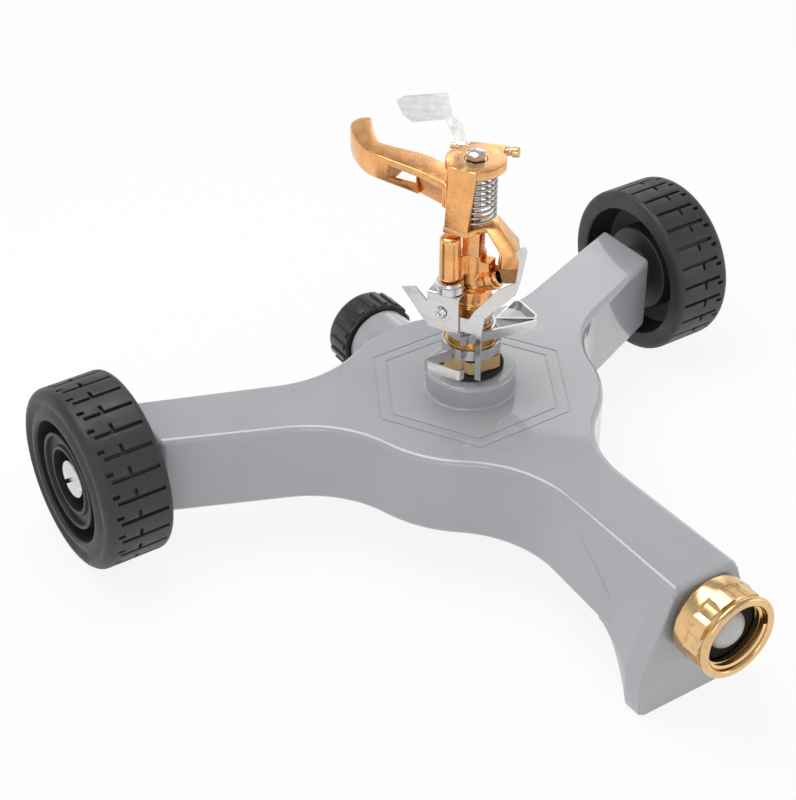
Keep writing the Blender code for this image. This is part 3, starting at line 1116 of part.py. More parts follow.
def trip_mechanism():
    face = BRACKET_FACE_V
    inner = -POST_RADIUS - 2 * SEAT
    fold = [(face, BRACKET_Z + SHEET - BRACKET_DROP), (face + SHEET, BRACKET_Z + SHEET - BRACKET_DROP),
            (face + SHEET, BRACKET_Z), (inner, BRACKET_Z), (inner, BRACKET_Z + SHEET),
            (face + SHEET / 2, BRACKET_Z + SHEET), (face, BRACKET_Z + SHEET / 2)]
    middle = (BRACKET_LEFT + BRACKET_RIGHT) / 2
    sideways = Matrix(((0, 0, 1, middle), (1, 0, 0, 0), (0, 1, 0, 0), (0, 0, 0, 1)))
    bracket = plate("trip_bracket", [fold], BRACKET_RIGHT - BRACKET_LEFT, sideways, HEAD, STAINLESS)
    foot = (COLUMN_U, COLUMN_V)
    rivet = (RIVET_U, RIVET_Z)
    cut(bracket,
        rod("screw_gap", (*foot, BRACKET_Z - 0.002), (*foot, BRACKET_Z + 0.002), SCREW_RADIUS + SEAT,
            HEAD, sides=16),
        rod("rivet_gap", (RIVET_U, face - 0.001, RIVET_Z), (RIVET_U, face + 0.002, RIVET_Z),
            RIVET_RADIUS + SEAT, HEAD, sides=16))
    tube("bracket_nut", BRACKET_NUT_RADIUS, SCREW_RADIUS + SEAT, BRACKET_NUT_Z, BRACKET_NUT_Z + BRACKET_NUT,
         (*foot, 0), UP, HEAD, STAINLESS, 24)
    head_top = BRACKET_Z - SEAT
    turned("bracket_screw",
           [(0, COLUMN_Z + SCREW_REACH), (SCREW_RADIUS, COLUMN_Z + SCREW_REACH), (SCREW_RADIUS, head_top),
            (SCREW_HEAD_RADIUS, head_top), (SCREW_HEAD_RADIUS, head_top - SCREW_HEAD),
            (0, head_top - SCREW_HEAD)],
           (*foot, 0), UP, HEAD, STAINLESS, 20)
    axis = frame("lever_axis", (rivet[0], 0, rivet[1]), 0, HEAD)
    outline = LEVER_FINGER + LEVER_BLADE + LEVER_EYE + LEVER_WING
    lever = plate("trip_lever", [outline], SHEET, upright(LEVER_V + SHEET / 2), axis,
                  STAINLESS)
    cut(lever, rod("eye", (0, LEVER_V - 0.001, 0), (0, LEVER_V + 0.002, 0), RIVET_RADIUS + SEAT, axis,
                   sides=16))
    coil_start = LEVER_V + SHEET + SEAT + TOGGLE_WIRE / 2
    coil_run = TOGGLE_TURNS * (TOGGLE_WIRE + 0.00045)
    tail = coil_start + coil_run + TOGGLE_WIRE / 2 + SEAT
    rivet_line = [(0, -face + SEAT + RIVET_HEAD), (RIVET_HEAD_RADIUS * 0.7, -face + SEAT + RIVET_HEAD),
                  (RIVET_HEAD_RADIUS, -face + SEAT + RIVET_HEAD * 0.4), (RIVET_HEAD_RADIUS, -face + SEAT),
                  (RIVET_RADIUS, -face + SEAT), (RIVET_RADIUS, -tail), (RIVET_RADIUS * 1.5, -tail),
                  (RIVET_RADIUS * 1.5, -tail - RIVET_HEAD * 0.7), (0, -tail - RIVET_HEAD * 0.7)]
    turned("trip_rivet", rivet_line, (rivet[0], 0, rivet[1]), (0, -1, 0), HEAD, STAINLESS, 20)
    radius = RIVET_RADIUS + SEAT + TOGGLE_WIRE / 2
    turns = coil(radius, 0, coil_run, TOGGLE_TURNS, 10)
    path = [(rivet[0] + x, coil_start + depth, rivet[1] + y) for x, y, depth in turns]
    first = Vector(path[0])
    last = Vector(path[-1])
    path = [tuple(first - Vector((0, 0, leg))) for leg in (0.0028, 0.0012)] + path
    path += [tuple(last + Vector((0, 0, leg))) for leg in (0.0012, 0.0026)]
    wire("trip_spring", path, TOGGLE_WIRE / 2, HEAD, STAINLESS)
    gap = helix_gap(radius, coil_run / TOGGLE_TURNS, TOGGLE_WIRE / 2)
    print("toggle spring, least gap between turns", round(gap * 1000, 2), "mm")


trip_mechanism()
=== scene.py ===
"""Impulse sprinkler on a wheeled cast base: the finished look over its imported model."""
import math

import bmesh
import bpy
from mathutils import Matrix, Vector


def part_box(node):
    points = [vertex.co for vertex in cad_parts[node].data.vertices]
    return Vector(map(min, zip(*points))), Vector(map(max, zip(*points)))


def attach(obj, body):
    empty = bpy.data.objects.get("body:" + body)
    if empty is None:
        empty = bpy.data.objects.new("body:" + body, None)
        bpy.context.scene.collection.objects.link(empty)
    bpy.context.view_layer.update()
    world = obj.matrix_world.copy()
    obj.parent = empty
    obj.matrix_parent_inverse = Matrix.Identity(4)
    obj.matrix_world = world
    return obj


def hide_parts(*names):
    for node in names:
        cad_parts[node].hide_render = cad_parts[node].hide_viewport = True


bl_info = {
    "name": "Impulse Sprinkler",
    "version": (1, 0, 0),
    "blender": (4, 5, 0),
    "location": "3D View > Sidebar > Sprinkler",
    "description": "Models and finishes an impulse sprinkler on a wheeled cast base",
    "category": "Add Mesh",
}

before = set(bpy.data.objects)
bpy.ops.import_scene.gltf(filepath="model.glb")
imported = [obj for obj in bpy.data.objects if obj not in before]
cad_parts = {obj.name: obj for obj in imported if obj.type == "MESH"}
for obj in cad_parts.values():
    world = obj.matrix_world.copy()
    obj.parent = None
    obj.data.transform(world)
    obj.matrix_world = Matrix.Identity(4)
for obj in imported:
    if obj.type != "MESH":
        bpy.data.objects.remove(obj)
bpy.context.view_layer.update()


def node_middle(node):
    low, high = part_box(node)
    return (low + high) / 2


# The head's axis on the casting, and the head's own directions: u along the nozzle, v to its left
HEAD_Y = node_middle("bearing_nut").y
SLED = Matrix.Translation((0, HEAD_Y, 0))
NOZZLE_TURN = math.radians(-62)
HEAD = SLED @ Matrix.Rotation(NOZZLE_TURN, 4, "Z")
UP = Vector((0, 0, 1))

# Fit between seated pieces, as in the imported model
SEAT = 0.0003

# How far a cutter or a buried end reaches past the face that it meets
PAST = 0.001

# Seams that are closer than this are welded
WELD_GAP = 0.000002


# Working by hand in object and edit mode

def deselect():
    bpy.ops.object.select_all(action="DESELECT")


def only(obj):
    deselect()
    obj.select_set(True)
    bpy.context.view_layer.objects.active = obj


def edit(obj):
    only(obj)
    bpy.ops.object.mode_set(mode="EDIT")
    bpy.ops.mesh.select_all(action="SELECT")


def leave_edit():
    bpy.ops.object.mode_set(mode="OBJECT")


def pick(kind, test):
    """Selects the vertices, edges or faces that pass the test, and nothing else."""
    bpy.ops.mesh.select_mode(type=kind)
    bpy.ops.mesh.select_all(action="DESELECT")
    mesh = bpy.context.edit_object.data
    shape = bmesh.from_edit_mesh(mesh)
    elements = {"VERT": shape.verts, "EDGE": shape.edges, "FACE": shape.faces}[kind]
    for element in elements:
        if test(element):
            element.select_set(True)
    shape.select_flush_mode()
    bmesh.update_edit_mesh(mesh)


def name_it(obj, name):
    obj.name = name
    obj.data.name = name
    return obj


def face_outward():
    bpy.ops.mesh.select_all(action="SELECT")
    bpy.ops.mesh.normals_make_consistent(inside=False)


def extrude_selection(rise=0):
    bpy.ops.mesh.extrude_region_move(TRANSFORM_OT_translate={"value": (0, 0, rise)})


def aimed(direction):
    """Turns the Z axis to a direction."""
    return Vector(direction).to_track_quat("Z", "Y").to_matrix().to_4x4()


def put(obj, matrix):
    """Takes a piece to its place and lets its mesh carry that place."""
    obj.matrix_world = matrix @ obj.matrix_world
    only(obj)
    bpy.ops.object.transform_apply(location=True, rotation=True, scale=True)
    return obj


def apply_all(obj):
    only(obj)
    for modifier in list(obj.modifiers):
        bpy.ops.object.modifier_apply(modifier=modifier.name)
    return obj


def tidy_mesh(obj):
    """Welds the seams and turns every face outward."""
    edit(obj)
    bpy.ops.mesh.remove_doubles(threshold=WELD_GAP)
    face_outward()
    leave_edit()
    return obj


def smooth(obj, angle):
    only(obj)
    bpy.ops.object.shade_smooth_by_angle(angle=math.radians(angle))
    return obj


def even_shading(obj, angle):
    """Smooth shading that leaves the large faces flat beside their rounded edges."""
    smooth(obj, angle)
    weighted = obj.modifiers.new("even", "WEIGHTED_NORMAL")
    weighted.keep_sharp = True
    weighted.weight = 90
    return apply_all(obj)


def round_edges(obj, width, segments, angle=40):
    bevel = obj.modifiers.new("round", "BEVEL")
    bevel.width = width
    bevel.segments = segments
    bevel.limit_method = "ANGLE"
    bevel.angle_limit = math.radians(angle)
    bevel.use_clamp_overlap = True
    return apply_all(obj)


def shape_with(obj, other, operation):
    """Joins another piece on, or cuts it out, and clears it away."""
    modifier = obj.modifiers.new("shape", "BOOLEAN")
    modifier.operation = operation
    modifier.solver = "EXACT"
    modifier.object = other
    apply_all(obj)
    mesh = other.data
    bpy.data.objects.remove(other, do_unlink=True)
    bpy.data.meshes.remove(mesh)
    return obj


def weld_on(obj, *others):
    for other in others:
        shape_with(obj, other, "UNION")
    return obj


def cut_out(obj, *others):
    for other in others:
        shape_with(obj, other, "DIFFERENCE")
    return obj


def join_meshes(obj, *others):
    """Puts closed pieces that overlap into one object."""
    only(obj)
    for other in others:
        other.select_set(True)
    bpy.ops.object.join()
    return obj


def copy_piece(obj, name, matrix):
    """A copy with its own mesh, in its place."""
    only(obj)
    bpy.ops.object.duplicate(linked=False)
    return put(name_it(bpy.context.object, name), matrix)


def two_finishes(obj, main, second, test):
    """Gives a piece its main finish, and a second one to the faces whose middle passes the test."""
    obj.data.materials.append(main)
    obj.data.materials.append(second)
    edit(obj)
    pick("FACE", lambda face: test(face.calc_center_median()))
    bpy.context.object.active_material_index = 1
    bpy.ops.object.material_slot_assign()
    leave_edit()


def turn_step(centre, steps):
    """Which of a number of equal steps round the Z axis a place lies in."""
    return int((math.atan2(centre.y, centre.x) % (2 * math.pi)) / (2 * math.pi) * steps)


def press_faces(obj, test, rise):
    """Draws the faces whose middle passes the test out from the Z axis, or in."""
    edit(obj)
    pick("FACE", lambda face: test(face.calc_center_median()))
    extrude_selection()
    mesh = bpy.context.edit_object.data
    shape = bmesh.from_edit_mesh(mesh)
    for vertex in shape.verts:
        if vertex.select:
            radius = math.hypot(vertex.co.x, vertex.co.y)
            vertex.co.xy *= (radius + rise) / radius
    bmesh.update_edit_mesh(mesh)
    face_outward()
    leave_edit()


# Starting forms

def ring_of(name, points, fill="NOTHING"):
    """A circle whose corners are moved to the points of an outline."""
    deselect()
    bpy.ops.mesh.primitive_circle_add(vertices=len(points), radius=1, fill_type=fill)
    obj = name_it(bpy.context.object, name)
    for vertex, point in zip(obj.data.vertices, points):
        vertex.co = point
    return obj


def slab(name, outline, low, high):
    """A flat outline raised from one height to another."""
    obj = ring_of(name, [(x, y, low) for x, y in outline], "NGON")
    edit(obj)
    extrude_selection(high - low)
    face_outward()
    leave_edit()
    return obj


def turned(name, profile, steps, place=None, along=None):
    """A profile of (radius, height) pairs turned about an axis."""
    obj = ring_of(name, [(radius, 0, height) for radius, height in profile])
    edit(obj)
    pick("EDGE", lambda edge: all(abs(vertex.co.x) < 1e-7 for vertex in edge.verts))
    bpy.ops.mesh.delete(type="EDGE")
    bpy.ops.mesh.select_mode(type="VERT")
    bpy.ops.mesh.select_all(action="SELECT")
    bpy.ops.mesh.spin(steps=steps, angle=2 * math.pi, center=(0, 0, 0), axis=(0, 0, 1))
    leave_edit()
    tidy_mesh(obj)
    return put(obj, (place or Matrix()) @ (aimed(along) if along else Matrix()))


def rod(name, start, end, radius, sides, turn=0.0):
    """A round or many-sided bar between two points."""
    start = Vector(start)
    span = Vector(end) - start
    deselect()
    bpy.ops.mesh.primitive_cone_add(vertices=sides, radius1=radius, radius2=radius, depth=span.length)
    obj = name_it(bpy.context.object, name)
    return put(obj, Matrix.Translation(start + span / 2) @ aimed(span) @ Matrix.Rotation(turn, 4, "Z"))


def upright_rod(name, low, high, radius, sides):
    """A round bar on the Z axis."""
    return rod(name, (0, 0, low), (0, 0, high), radius, sides)


def block(name, low, high, place=None):
    deselect()
    middle = (Vector(low) + Vector(high)) / 2
    bpy.ops.mesh.primitive_cube_add(size=1, location=middle, scale=Vector(high) - Vector(low))
    return put(name_it(bpy.context.object, name), place or Matrix())


def loft(name, sections):
    """A closed form extruded from ring to ring."""
    obj = ring_of(name, sections[0], "NGON")
    edit(obj)
    previous = sections[0]
    for section in sections[1:]:
        extrude_selection()
        mesh = bpy.context.edit_object.data
        shape = bmesh.from_edit_mesh(mesh)
        face = next(face for face in shape.faces if face.select)
        for vertex in face.verts:
            gaps = [(Vector(point) - vertex.co).length_squared for point in previous]
            vertex.co = section[gaps.index(min(gaps))]
        previous = section
        bmesh.update_edit_mesh(mesh)
    leave_edit()
    return tidy_mesh(obj)


def arc(centre, radius, start, end, count):
    return [(centre[0] + radius * math.cos(start + (end - start) * n / count),
             centre[1] + radius * math.sin(start + (end - start) * n / count))
            for n in range(count + 1)]


def helix(name, profile, pitch, turns, steps, place=None):
    """A closed thread ridge: a small (radius, height) profile that climbs as it turns."""
    obj = ring_of(name, [(radius, 0, height) for radius, height in profile])
    screw = obj.modifiers.new("climb", "SCREW")
    screw.angle = 2 * math.pi
    screw.screw_offset = pitch
    screw.iterations = turns
    screw.steps = steps
    screw.render_steps = steps
    apply_all(obj)
    edit(obj)
    bpy.ops.mesh.fill_holes(sides=0)
    leave_edit()
    return put(tidy_mesh(obj), place or Matrix())


def stand_for(obj, coat, body, slot, *nodes):
    """Gives a piece its body and its material, unless it has its own, and lets it stand for its nodes."""
    if coat:
        obj.data.materials.clear()
        obj.data.materials.append(coat)
    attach(obj, body)
    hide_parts(*nodes)
    return obj


# Finishes. Patterns read object coordinates, so their sizes are real.

def add_node(tree, kind, values=None, **settings):
    node = tree.nodes.new(kind)
    for key, value in settings.items():
        setattr(node, key, value)
    for key, value in (values or {}).items():
        node.inputs[key].default_value = value
    return node


def noise(tree, coordinates, per_metre, detail=3.0, stretch=None):
    """Noise of a stated number of spots to the metre, stretched where asked."""
    source = coordinates
    if stretch:
        mapping = add_node(tree, "ShaderNodeMapping", {"Scale": stretch})
        tree.links.new(coordinates, mapping.inputs["Vector"])
        source = mapping.outputs["Vector"]
    texture = add_node(tree, "ShaderNodeTexNoise", {"Scale": per_metre, "Detail": detail})
    tree.links.new(source, texture.inputs["Vector"])
    return texture.outputs["Fac"]


def between(tree, source, low, high, from_low=0.3, from_high=0.7):
    """A noise's middle range brought to the range of a socket."""
    spread = add_node(tree, "ShaderNodeMapRange", {"From Min": from_low, "From Max": from_high,
                                                   "To Min": low, "To Max": high})
    tree.links.new(source, spread.inputs["Value"])
    return spread.outputs["Result"]


def mixed(tree, factor, first, second):
    """Two colours by a factor; each is a colour or another node's output."""
    mix = add_node(tree, "ShaderNodeMix", data_type="RGBA")
    sockets = [socket for socket in mix.inputs if socket.type == "RGBA"]
    for socket, colour in zip(sockets, (first, second)):
        if isinstance(colour, bpy.types.NodeSocket):
            tree.links.new(colour, socket)
        else:
            socket.default_value = (*colour[:3], 1)
    tree.links.new(factor, mix.inputs["Factor"])
    return next(socket for socket in mix.outputs if socket.type == "RGBA")


def bump(tree, height, strength, depth, below=None):
    node = add_node(tree, "ShaderNodeBump", {"Strength": strength, "Distance": depth})
    tree.links.new(height, node.inputs["Height"])
    if below:
        tree.links.new(below, node.inputs["Normal"])
    return node.outputs["Normal"]


def shade(colour, factor):
    return tuple(min(1, channel * factor) for channel in colour[:3])


def finish_of(name, metallic=0.0, coat=0.0, coat_roughness=0.05, specular=0.5):
    """An empty finish: its material, node tree, shader and object coordinates."""
    material = bpy.data.materials.new(name)
    material.use_nodes = True
    tree = material.node_tree
    shader = tree.nodes["Principled BSDF"]
    shader.inputs["Metallic"].default_value = metallic
    shader.inputs["Coat Weight"].default_value = coat
    shader.inputs["Coat Roughness"].default_value = coat_roughness
    shader.inputs["Specular IOR Level"].default_value = specular
    coordinates = add_node(tree, "ShaderNodeTexCoord").outputs["Object"]
    return material, tree, shader, coordinates


def clouded(tree, at, per_metre, colour, dark, light, detail=3.0):
    """The colour in soft patches, from a darker shade to a lighter one."""
    patches = between(tree, noise(tree, at, per_metre, detail), 0, 1)
    return mixed(tree, patches, shade(colour, dark), shade(colour, light))


def lead(tree, shader, colour, roughness, normal):
    """Leads the three patterns of a finish to its shader."""
    for socket, source in (("Base Color", colour), ("Roughness", roughness), ("Normal", normal)):
        tree.links.new(source, shader.inputs[socket])


def edges_of(tree, low=0.52, high=0.60):
    """Strong on the outer edges of a form and nothing on its flats."""
    geometry = add_node(tree, "ShaderNodeNewGeometry")
    return between(tree, geometry.outputs["Pointiness"], 0.0, 1.0, low, high)


def hollows_of(tree, share, low):
    """Up to a share in the hollows of a form and nothing on its flats."""
    geometry = add_node(tree, "ShaderNodeNewGeometry")
    return between(tree, geometry.outputs["Pointiness"], share, 0, low, 0.49)


def paint_finish(colour):
    """Glossy grey stove enamel: faint orange peel, thinner and lighter on the edges."""
    material, tree, shader, at = finish_of("grey_enamel", 0.0, 1.0, 0.035)
    cloudy = clouded(tree, at, 22, colour, 0.96, 1.04)
    fleck = between(tree, noise(tree, at, 2600, 1), 0, 0.22, 0.62, 0.72)
    flecked = mixed(tree, fleck, cloudy, shade(colour, 1.35))
    worn = mixed(tree, edges_of(tree, 0.53, 0.66), flecked, shade(colour, 1.10))
    peel = bump(tree, noise(tree, at, 420, 2), 0.045, 0.0006)
    lead(tree, shader, worn, between(tree, noise(tree, at, 60), 0.27, 0.36),
         bump(tree, noise(tree, at, 45, 2), 0.07, 0.0012, peel))
    return material


def moulded_finish(name, colour, grain=1900, roughness=(0.42, 0.55), coat=0.0):
    """Moulded plastic: fine spark-eroded grain, painted shade in the hollows, scuffed paler on the edges."""
    material, tree, shader, at = finish_of(name, coat=coat, coat_roughness=0.2)
    cloudy = clouded(tree, at, 35, colour, 0.85, 1.2)
    scuffs = noise(tree, at, 500, 4, (1, 1, 0.25))
    scuffed = mixed(tree, between(tree, scuffs, 0, 0.35, 0.60, 0.75), cloudy, shade(colour, 1.9))
    # Painted shade: the hollows are darkened to a fifth of the colour.
    painted_hollow_shade = mixed(tree, hollows_of(tree, 0.8, 0.36), scuffed, shade(colour, 0.2))
    worn = mixed(tree, edges_of(tree), painted_hollow_shade, shade(colour, 1.9))
    lead(tree, shader, worn, between(tree, noise(tree, at, 150), *roughness),
         bump(tree, noise(tree, at, grain, 2), 0.18, 0.0003))
    return material


def rubber_finish(colour):
    """Matte rubber with a dusty bloom."""
    material, tree, shader, at = finish_of("rubber_black", specular=0.3)
    bloom = between(tree, noise(tree, at, 260, 5), 0, 0.5, 0.45, 0.75)
    lead(tree, shader, mixed(tree, bloom, colour, shade(colour, 2.2)),
         between(tree, noise(tree, at, 400), 0.65, 0.85), bump(tree, noise(tree, at, 1500, 3), 0.2, 0.0003))
    return material


def cast_finish(colour):
    """Tumbled bronze casting: soft sand grain, dark brown painted shade in the hollows, bright on rubbed
    edges.
    """
    material, tree, shader, at = finish_of("cast_bronze", metallic=1.0)
    cloudy = clouded(tree, at, 130, colour, 0.80, 1.12, 4)
    spots = between(tree, noise(tree, at, 900, 3), 0, 0.45, 0.58, 0.72)
    spotted = mixed(tree, spots, cloudy, (colour[0] * 0.62, colour[1] * 0.45, colour[2] * 0.35))
    # Painted shade: the hollows are darkened to a dark brown.
    painted_hollow_shade = mixed(tree, hollows_of(tree, 0.65, 0.38), spotted,
                  (colour[0] * 0.40, colour[1] * 0.26, colour[2] * 0.18))
    rubbed = mixed(tree, edges_of(tree, 0.53, 0.63), painted_hollow_shade, (0.95, 0.66, 0.40))
    grain = bump(tree, noise(tree, at, 1500, 3), 0.14, 0.0003)
    lead(tree, shader, rubbed, between(tree, noise(tree, at, 300, 4), 0.16, 0.30),
         bump(tree, noise(tree, at, 240, 2), 0.12, 0.0006, grain))
    return material


def turned_finish(name, colour, stain):
    """Turned metal: fine tool rings, a little tarnish, bright edges."""
    stretch = (0.12, 1, 0.12)
    material, tree, shader, at = finish_of(name, metallic=1.0)
    cloudy = clouded(tree, at, 90, colour, 0.88, 1.08, 4)
    tarnish = between(tree, noise(tree, at, 420, 5), 0, 0.5, 0.55, 0.75)
    tarnished = mixed(tree, tarnish, cloudy, stain)
    rubbed = mixed(tree, edges_of(tree, 0.53, 0.65), tarnished, shade(colour, 1.25))
    lead(tree, shader, rubbed, between(tree, noise(tree, at, 500, 4, stretch), 0.14, 0.28),
         bump(tree, noise(tree, at, 2400, 2, stretch), 0.10, 0.0002))
    return material


def rolled_finish(name, colour, roughness=(0.10, 0.24), along=(0.06, 0.06, 1.0)):
    """Rolled stainless strip: long faint scratches, slightly wavy."""
    material, tree, shader, at = finish_of(name, metallic=1.0)
    streaks = noise(tree, at, 1300, 3, along)
    streaked = mixed(tree, between(tree, streaks, 0, 1), shade(colour, 0.96), shade(colour, 1.03))
    smudge = between(tree, noise(tree, at, 160, 5), 0, 0.35, 0.52, 0.75)
    smudged = mixed(tree, smudge, streaked, shade(colour, 0.72))
    scratches = bump(tree, streaks, 0.025, 0.0002)
    lead(tree, shader, smudged, between(tree, noise(tree, at, 700, 4, along), *roughness),
         bump(tree, noise(tree, at, 110, 2), 0.12, 0.0008, scratches))
    return material


# Sizes and colours that a user would change

LONGEST = 0.1


def length(name, description, default):
    return bpy.props.FloatProperty(name=name, description=description, default=default, min=0, max=LONGEST,
                                   subtype="DISTANCE", unit="LENGTH", precision=5)


def number(name, description, default, low, high):
    return bpy.props.IntProperty(name=name, description=description, default=default, min=low, max=high)


def tint(name, description, default):
    return bpy.props.FloatVectorProperty(name=name, description=description, default=default, size=3,
                                         min=0, max=1, subtype="COLOR")


class SprinklerSizes(bpy.types.PropertyGroup):
    edge_round: length("Casting edge", "Radius of the casting's outer edges", 0.0025)
    line_width: length("Ornament line", "Width of the two hexagon lines on the deck", 0.0010)
    line_depth: length("Ornament depth", "Depth of the two hexagon lines", 0.00025)
    tread_depth: length("Tread depth", "Depth of the grooves in the tread", 0.0019)
    thread_pitch: length("Hose thread pitch", "Pitch of the hose and cap threads", 0.0022)
    thread_depth: length("Hose thread depth", "Height of a thread ridge", 0.0009)
    tread_bars: number("Tread bars", "Bars round each wheel", 26, 12, 40)
    cap_ribs: number("Cap ribs", "Grip ribs round the rear cap", 18, 8, 36)


class SprinklerColours(bpy.types.PropertyGroup):
    enamel: tint("Casting", "Enamel of the casting", (0.368, 0.380, 0.402))
    moulded: tint("Wheels", "Moulded wheels", (0.024, 0.0245, 0.027))
    cap: tint("Cap", "Moulded rear cap", (0.014, 0.014, 0.015))
    rubber: tint("Rubber", "Washers", (0.012, 0.012, 0.012))
    brass: tint("Brass", "Coupling, bearing nut and knob", (0.76, 0.51, 0.25))
    bronze: tint("Bronze", "Head casting and impact arm", (0.88, 0.44, 0.17))
    stainless: tint("Stainless", "Strip, wire, pins and sheet", (0.68, 0.665, 0.66))
    strainer: tint("Strainer", "Moulded strainer and wear washer", (0.58, 0.57, 0.56))
    floor: tint("Floor", "Floor and backdrop", (0.93, 0.93, 0.93))


FINISHES = {}


def finish(name):
    """The named finish, made once from the scene's colours."""
    if name not in FINISHES:
        colours = bpy.context.scene.sprinkler_colours
        makers = {
            "enamel": lambda: paint_finish(colours.enamel),
            "moulded": lambda: moulded_finish("moulded_black", colours.moulded),
            "cap": lambda: moulded_finish("moulded_cap", colours.cap, 1400, (0.28, 0.40), 0.2),
            "strainer": lambda: moulded_finish("moulded_grey", colours.strainer, 1200, (0.30, 0.45)),
            "rubber": lambda: rubber_finish(colours.rubber),
            "bronze": lambda: cast_finish(colours.bronze),
            "brass": lambda: turned_finish("turned_brass", colours.brass, (0.42, 0.22, 0.07)),
            "steel": lambda: turned_finish("turned_steel", colours.stainless, (0.45, 0.43, 0.40)),
            "strip": lambda: rolled_finish("rolled_stainless", colours.stainless),
            # The wire is the stainless colour darkened to 0.7: painted shade on the springs.
            "wire": lambda: rolled_finish("drawn_wire_painted_shade", shade(colours.stainless, 0.7), (0.12, 0.25),
                                          (0.4, 0.4, 1.0)),
        }
        FINISHES[name] = makers[name]()
    return FINISHES[name]


# Casting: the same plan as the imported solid, with finer curves and soft edges

DECK_Z = 0.0548
SKIRT_Z = 0.0200
WALL = 0.0032
HUB_RADIUS = 0.053
HUB_FILLET = 0.045
ARM_ROOT_HALF = 0.0162
ARM_TIP_HALF = 0.0147
SIDE_ARM_TURN = math.radians(22.5)
SIDE_ARM_X = 0.122
FRONT_ARM_Y = 0.1427
FRONT_ROOT_HALF = 0.0134
FRONT_TIP_HALF = 0.0146
FRONT_SKIRT_ROOT = 0.0156
FRONT_SKIRT_TIP = 0.0222
BOSS_RADIUS = 0.018
BOSS_Z = 0.0643
HEXAGONS = (0.0428, 0.0372)
FOOT_HALF = 0.0267
FOOT_FLARE_Z = 0.0205
FOOT_TOE = 0.008
FOOT_BLEND = 0.034
FOOT_CORNER = 0.0045
WATER_Z = 0.0393
WATERWAY_RADIUS = 0.0115
WATERWAY_BORE = 0.0070
RISER_RADIUS = 0.0150
RISER_BORE = 0.0062
RISER_FLOOR_Z = 0.0495
PLUG_RADIUS = 0.0100
NIPPLE_RADIUS = 0.0095
NIPPLE_SUNK = 0.012
NECK_RADIUS = 0.0145
NECK_END_Y = 0.0665
NECK_THREAD_RADIUS = 0.0125
NECK_THREAD_END_Y = 0.0765
AXLE_Y = 0.0536
AXLE_Z = 0.0373
AXLE_RADIUS = 0.0040
AXLE_BOSS_RADIUS = 0.0105
AXLE_BOSS_OUT = 0.0021
AXLE_ROOT_RADIUS = 0.0080
AXLE_ROOT = 0.0060
FILLET_STEPS = 14
HUB_STEPS = 8
FOOT_STEPS = 16
SOLE_GAP = 0.002
FOOT_KNEE = 0.001
FOOT_TOP_DROP = 1.3
BORE_START = 0.005
THREAD_START = 0.0009
THREAD_SHORTER = 0.0014


def is_front(direction):
    return abs(math.cos(direction)) < 0.5


def arm_side(direction, side, inset, skirt):
    """Edge line of an arm on one side of it: distance from the axis, and the line's angle.
    The front arm is wider at the skirt than at the deck."""
    run = SIDE_ARM_X / math.cos(SIDE_ARM_TURN)
    root, tip = ARM_ROOT_HALF, ARM_TIP_HALF
    if is_front(direction):
        run = FRONT_ARM_Y
        root = FRONT_ROOT_HALF + (FRONT_SKIRT_ROOT - FRONT_ROOT_HALF) * skirt
        tip = FRONT_TIP_HALF + (FRONT_SKIRT_TIP - FRONT_TIP_HALF) * skirt
    taper = math.atan((root - tip) / (run - HUB_RADIUS))
    at_axis = tip + run * math.tan(taper)
    return at_axis * math.cos(taper) - inset, direction - side * taper


def fillet_centre(direction, side, inset, skirt):
    distance, along = arm_side(direction, side, inset, skirt)
    fillet = HUB_FILLET + inset
    offset = distance + fillet
    reach = math.sqrt((HUB_RADIUS - inset + fillet) ** 2 - offset ** 2)
    normal = along + side * math.pi / 2
    return (reach * math.cos(along) + offset * math.cos(normal),
            reach * math.sin(along) + offset * math.sin(normal)), normal


def arm_end(direction, side, inset, skirt):
    """Corner of an arm: the side arms end square to X, the front arm square to Y."""
    distance, along = arm_side(direction, side, inset, skirt)
    normal = along + side * math.pi / 2
    foot = (distance * math.cos(normal), distance * math.sin(normal))
    if is_front(direction):
        run = (-(FRONT_ARM_Y - inset) - foot[1]) / math.sin(along)
    else:
        run = ((SIDE_ARM_X - inset) * math.copysign(1, math.cos(direction)) - foot[0]) / math.cos(along)
    return foot[0] + run * math.cos(along), foot[1] + run * math.sin(along)


def sled_outline(inset, skirt):
    """Plan of the casting, anticlockwise, drawn in by inset; skirt is 0 at the deck, 1 at the skirt."""
    directions = (SIDE_ARM_TURN, math.pi - SIDE_ARM_TURN, math.pi * 3 / 2)
    points = []
    for number, direction in enumerate(directions):
        following = directions[(number + 1) % 3]
        points.append(arm_end(direction, -1, inset, skirt))
        points.append(arm_end(direction, 1, inset, skirt))
        first, first_normal = fillet_centre(direction, 1, inset, skirt)
        second, second_normal = fillet_centre(following, -1, inset, skirt)
        first_angle = math.atan2(first[1], first[0])
        second_angle = math.atan2(second[1], second[0])
        if second_angle < first_angle:
            second_angle += 2 * math.pi
        start = first_normal + math.pi
        end = start - (start - (first_angle + math.pi)) % (2 * math.pi)
        points += arc(first, HUB_FILLET + inset, start, end, FILLET_STEPS)
        points += arc((0, 0), HUB_RADIUS - inset, first_angle, second_angle, HUB_STEPS)[1:-1]
        start = second_angle + math.pi
        end = start - (start - (second_normal + math.pi)) % (2 * math.pi)
        points += arc(second, HUB_FILLET + inset, start, end, FILLET_STEPS)
    return points


def sled_form(name, inset, low, high):
    """The casting's plan as a solid between two heights, with the front arm's draft."""
    levels = []
    for z in (low, high):
        skirt = (DECK_Z - z) / (DECK_Z - SKIRT_Z)
        levels.append([(x, y, z) for x, y in sled_outline(inset, skirt)])
    return loft(name, levels)


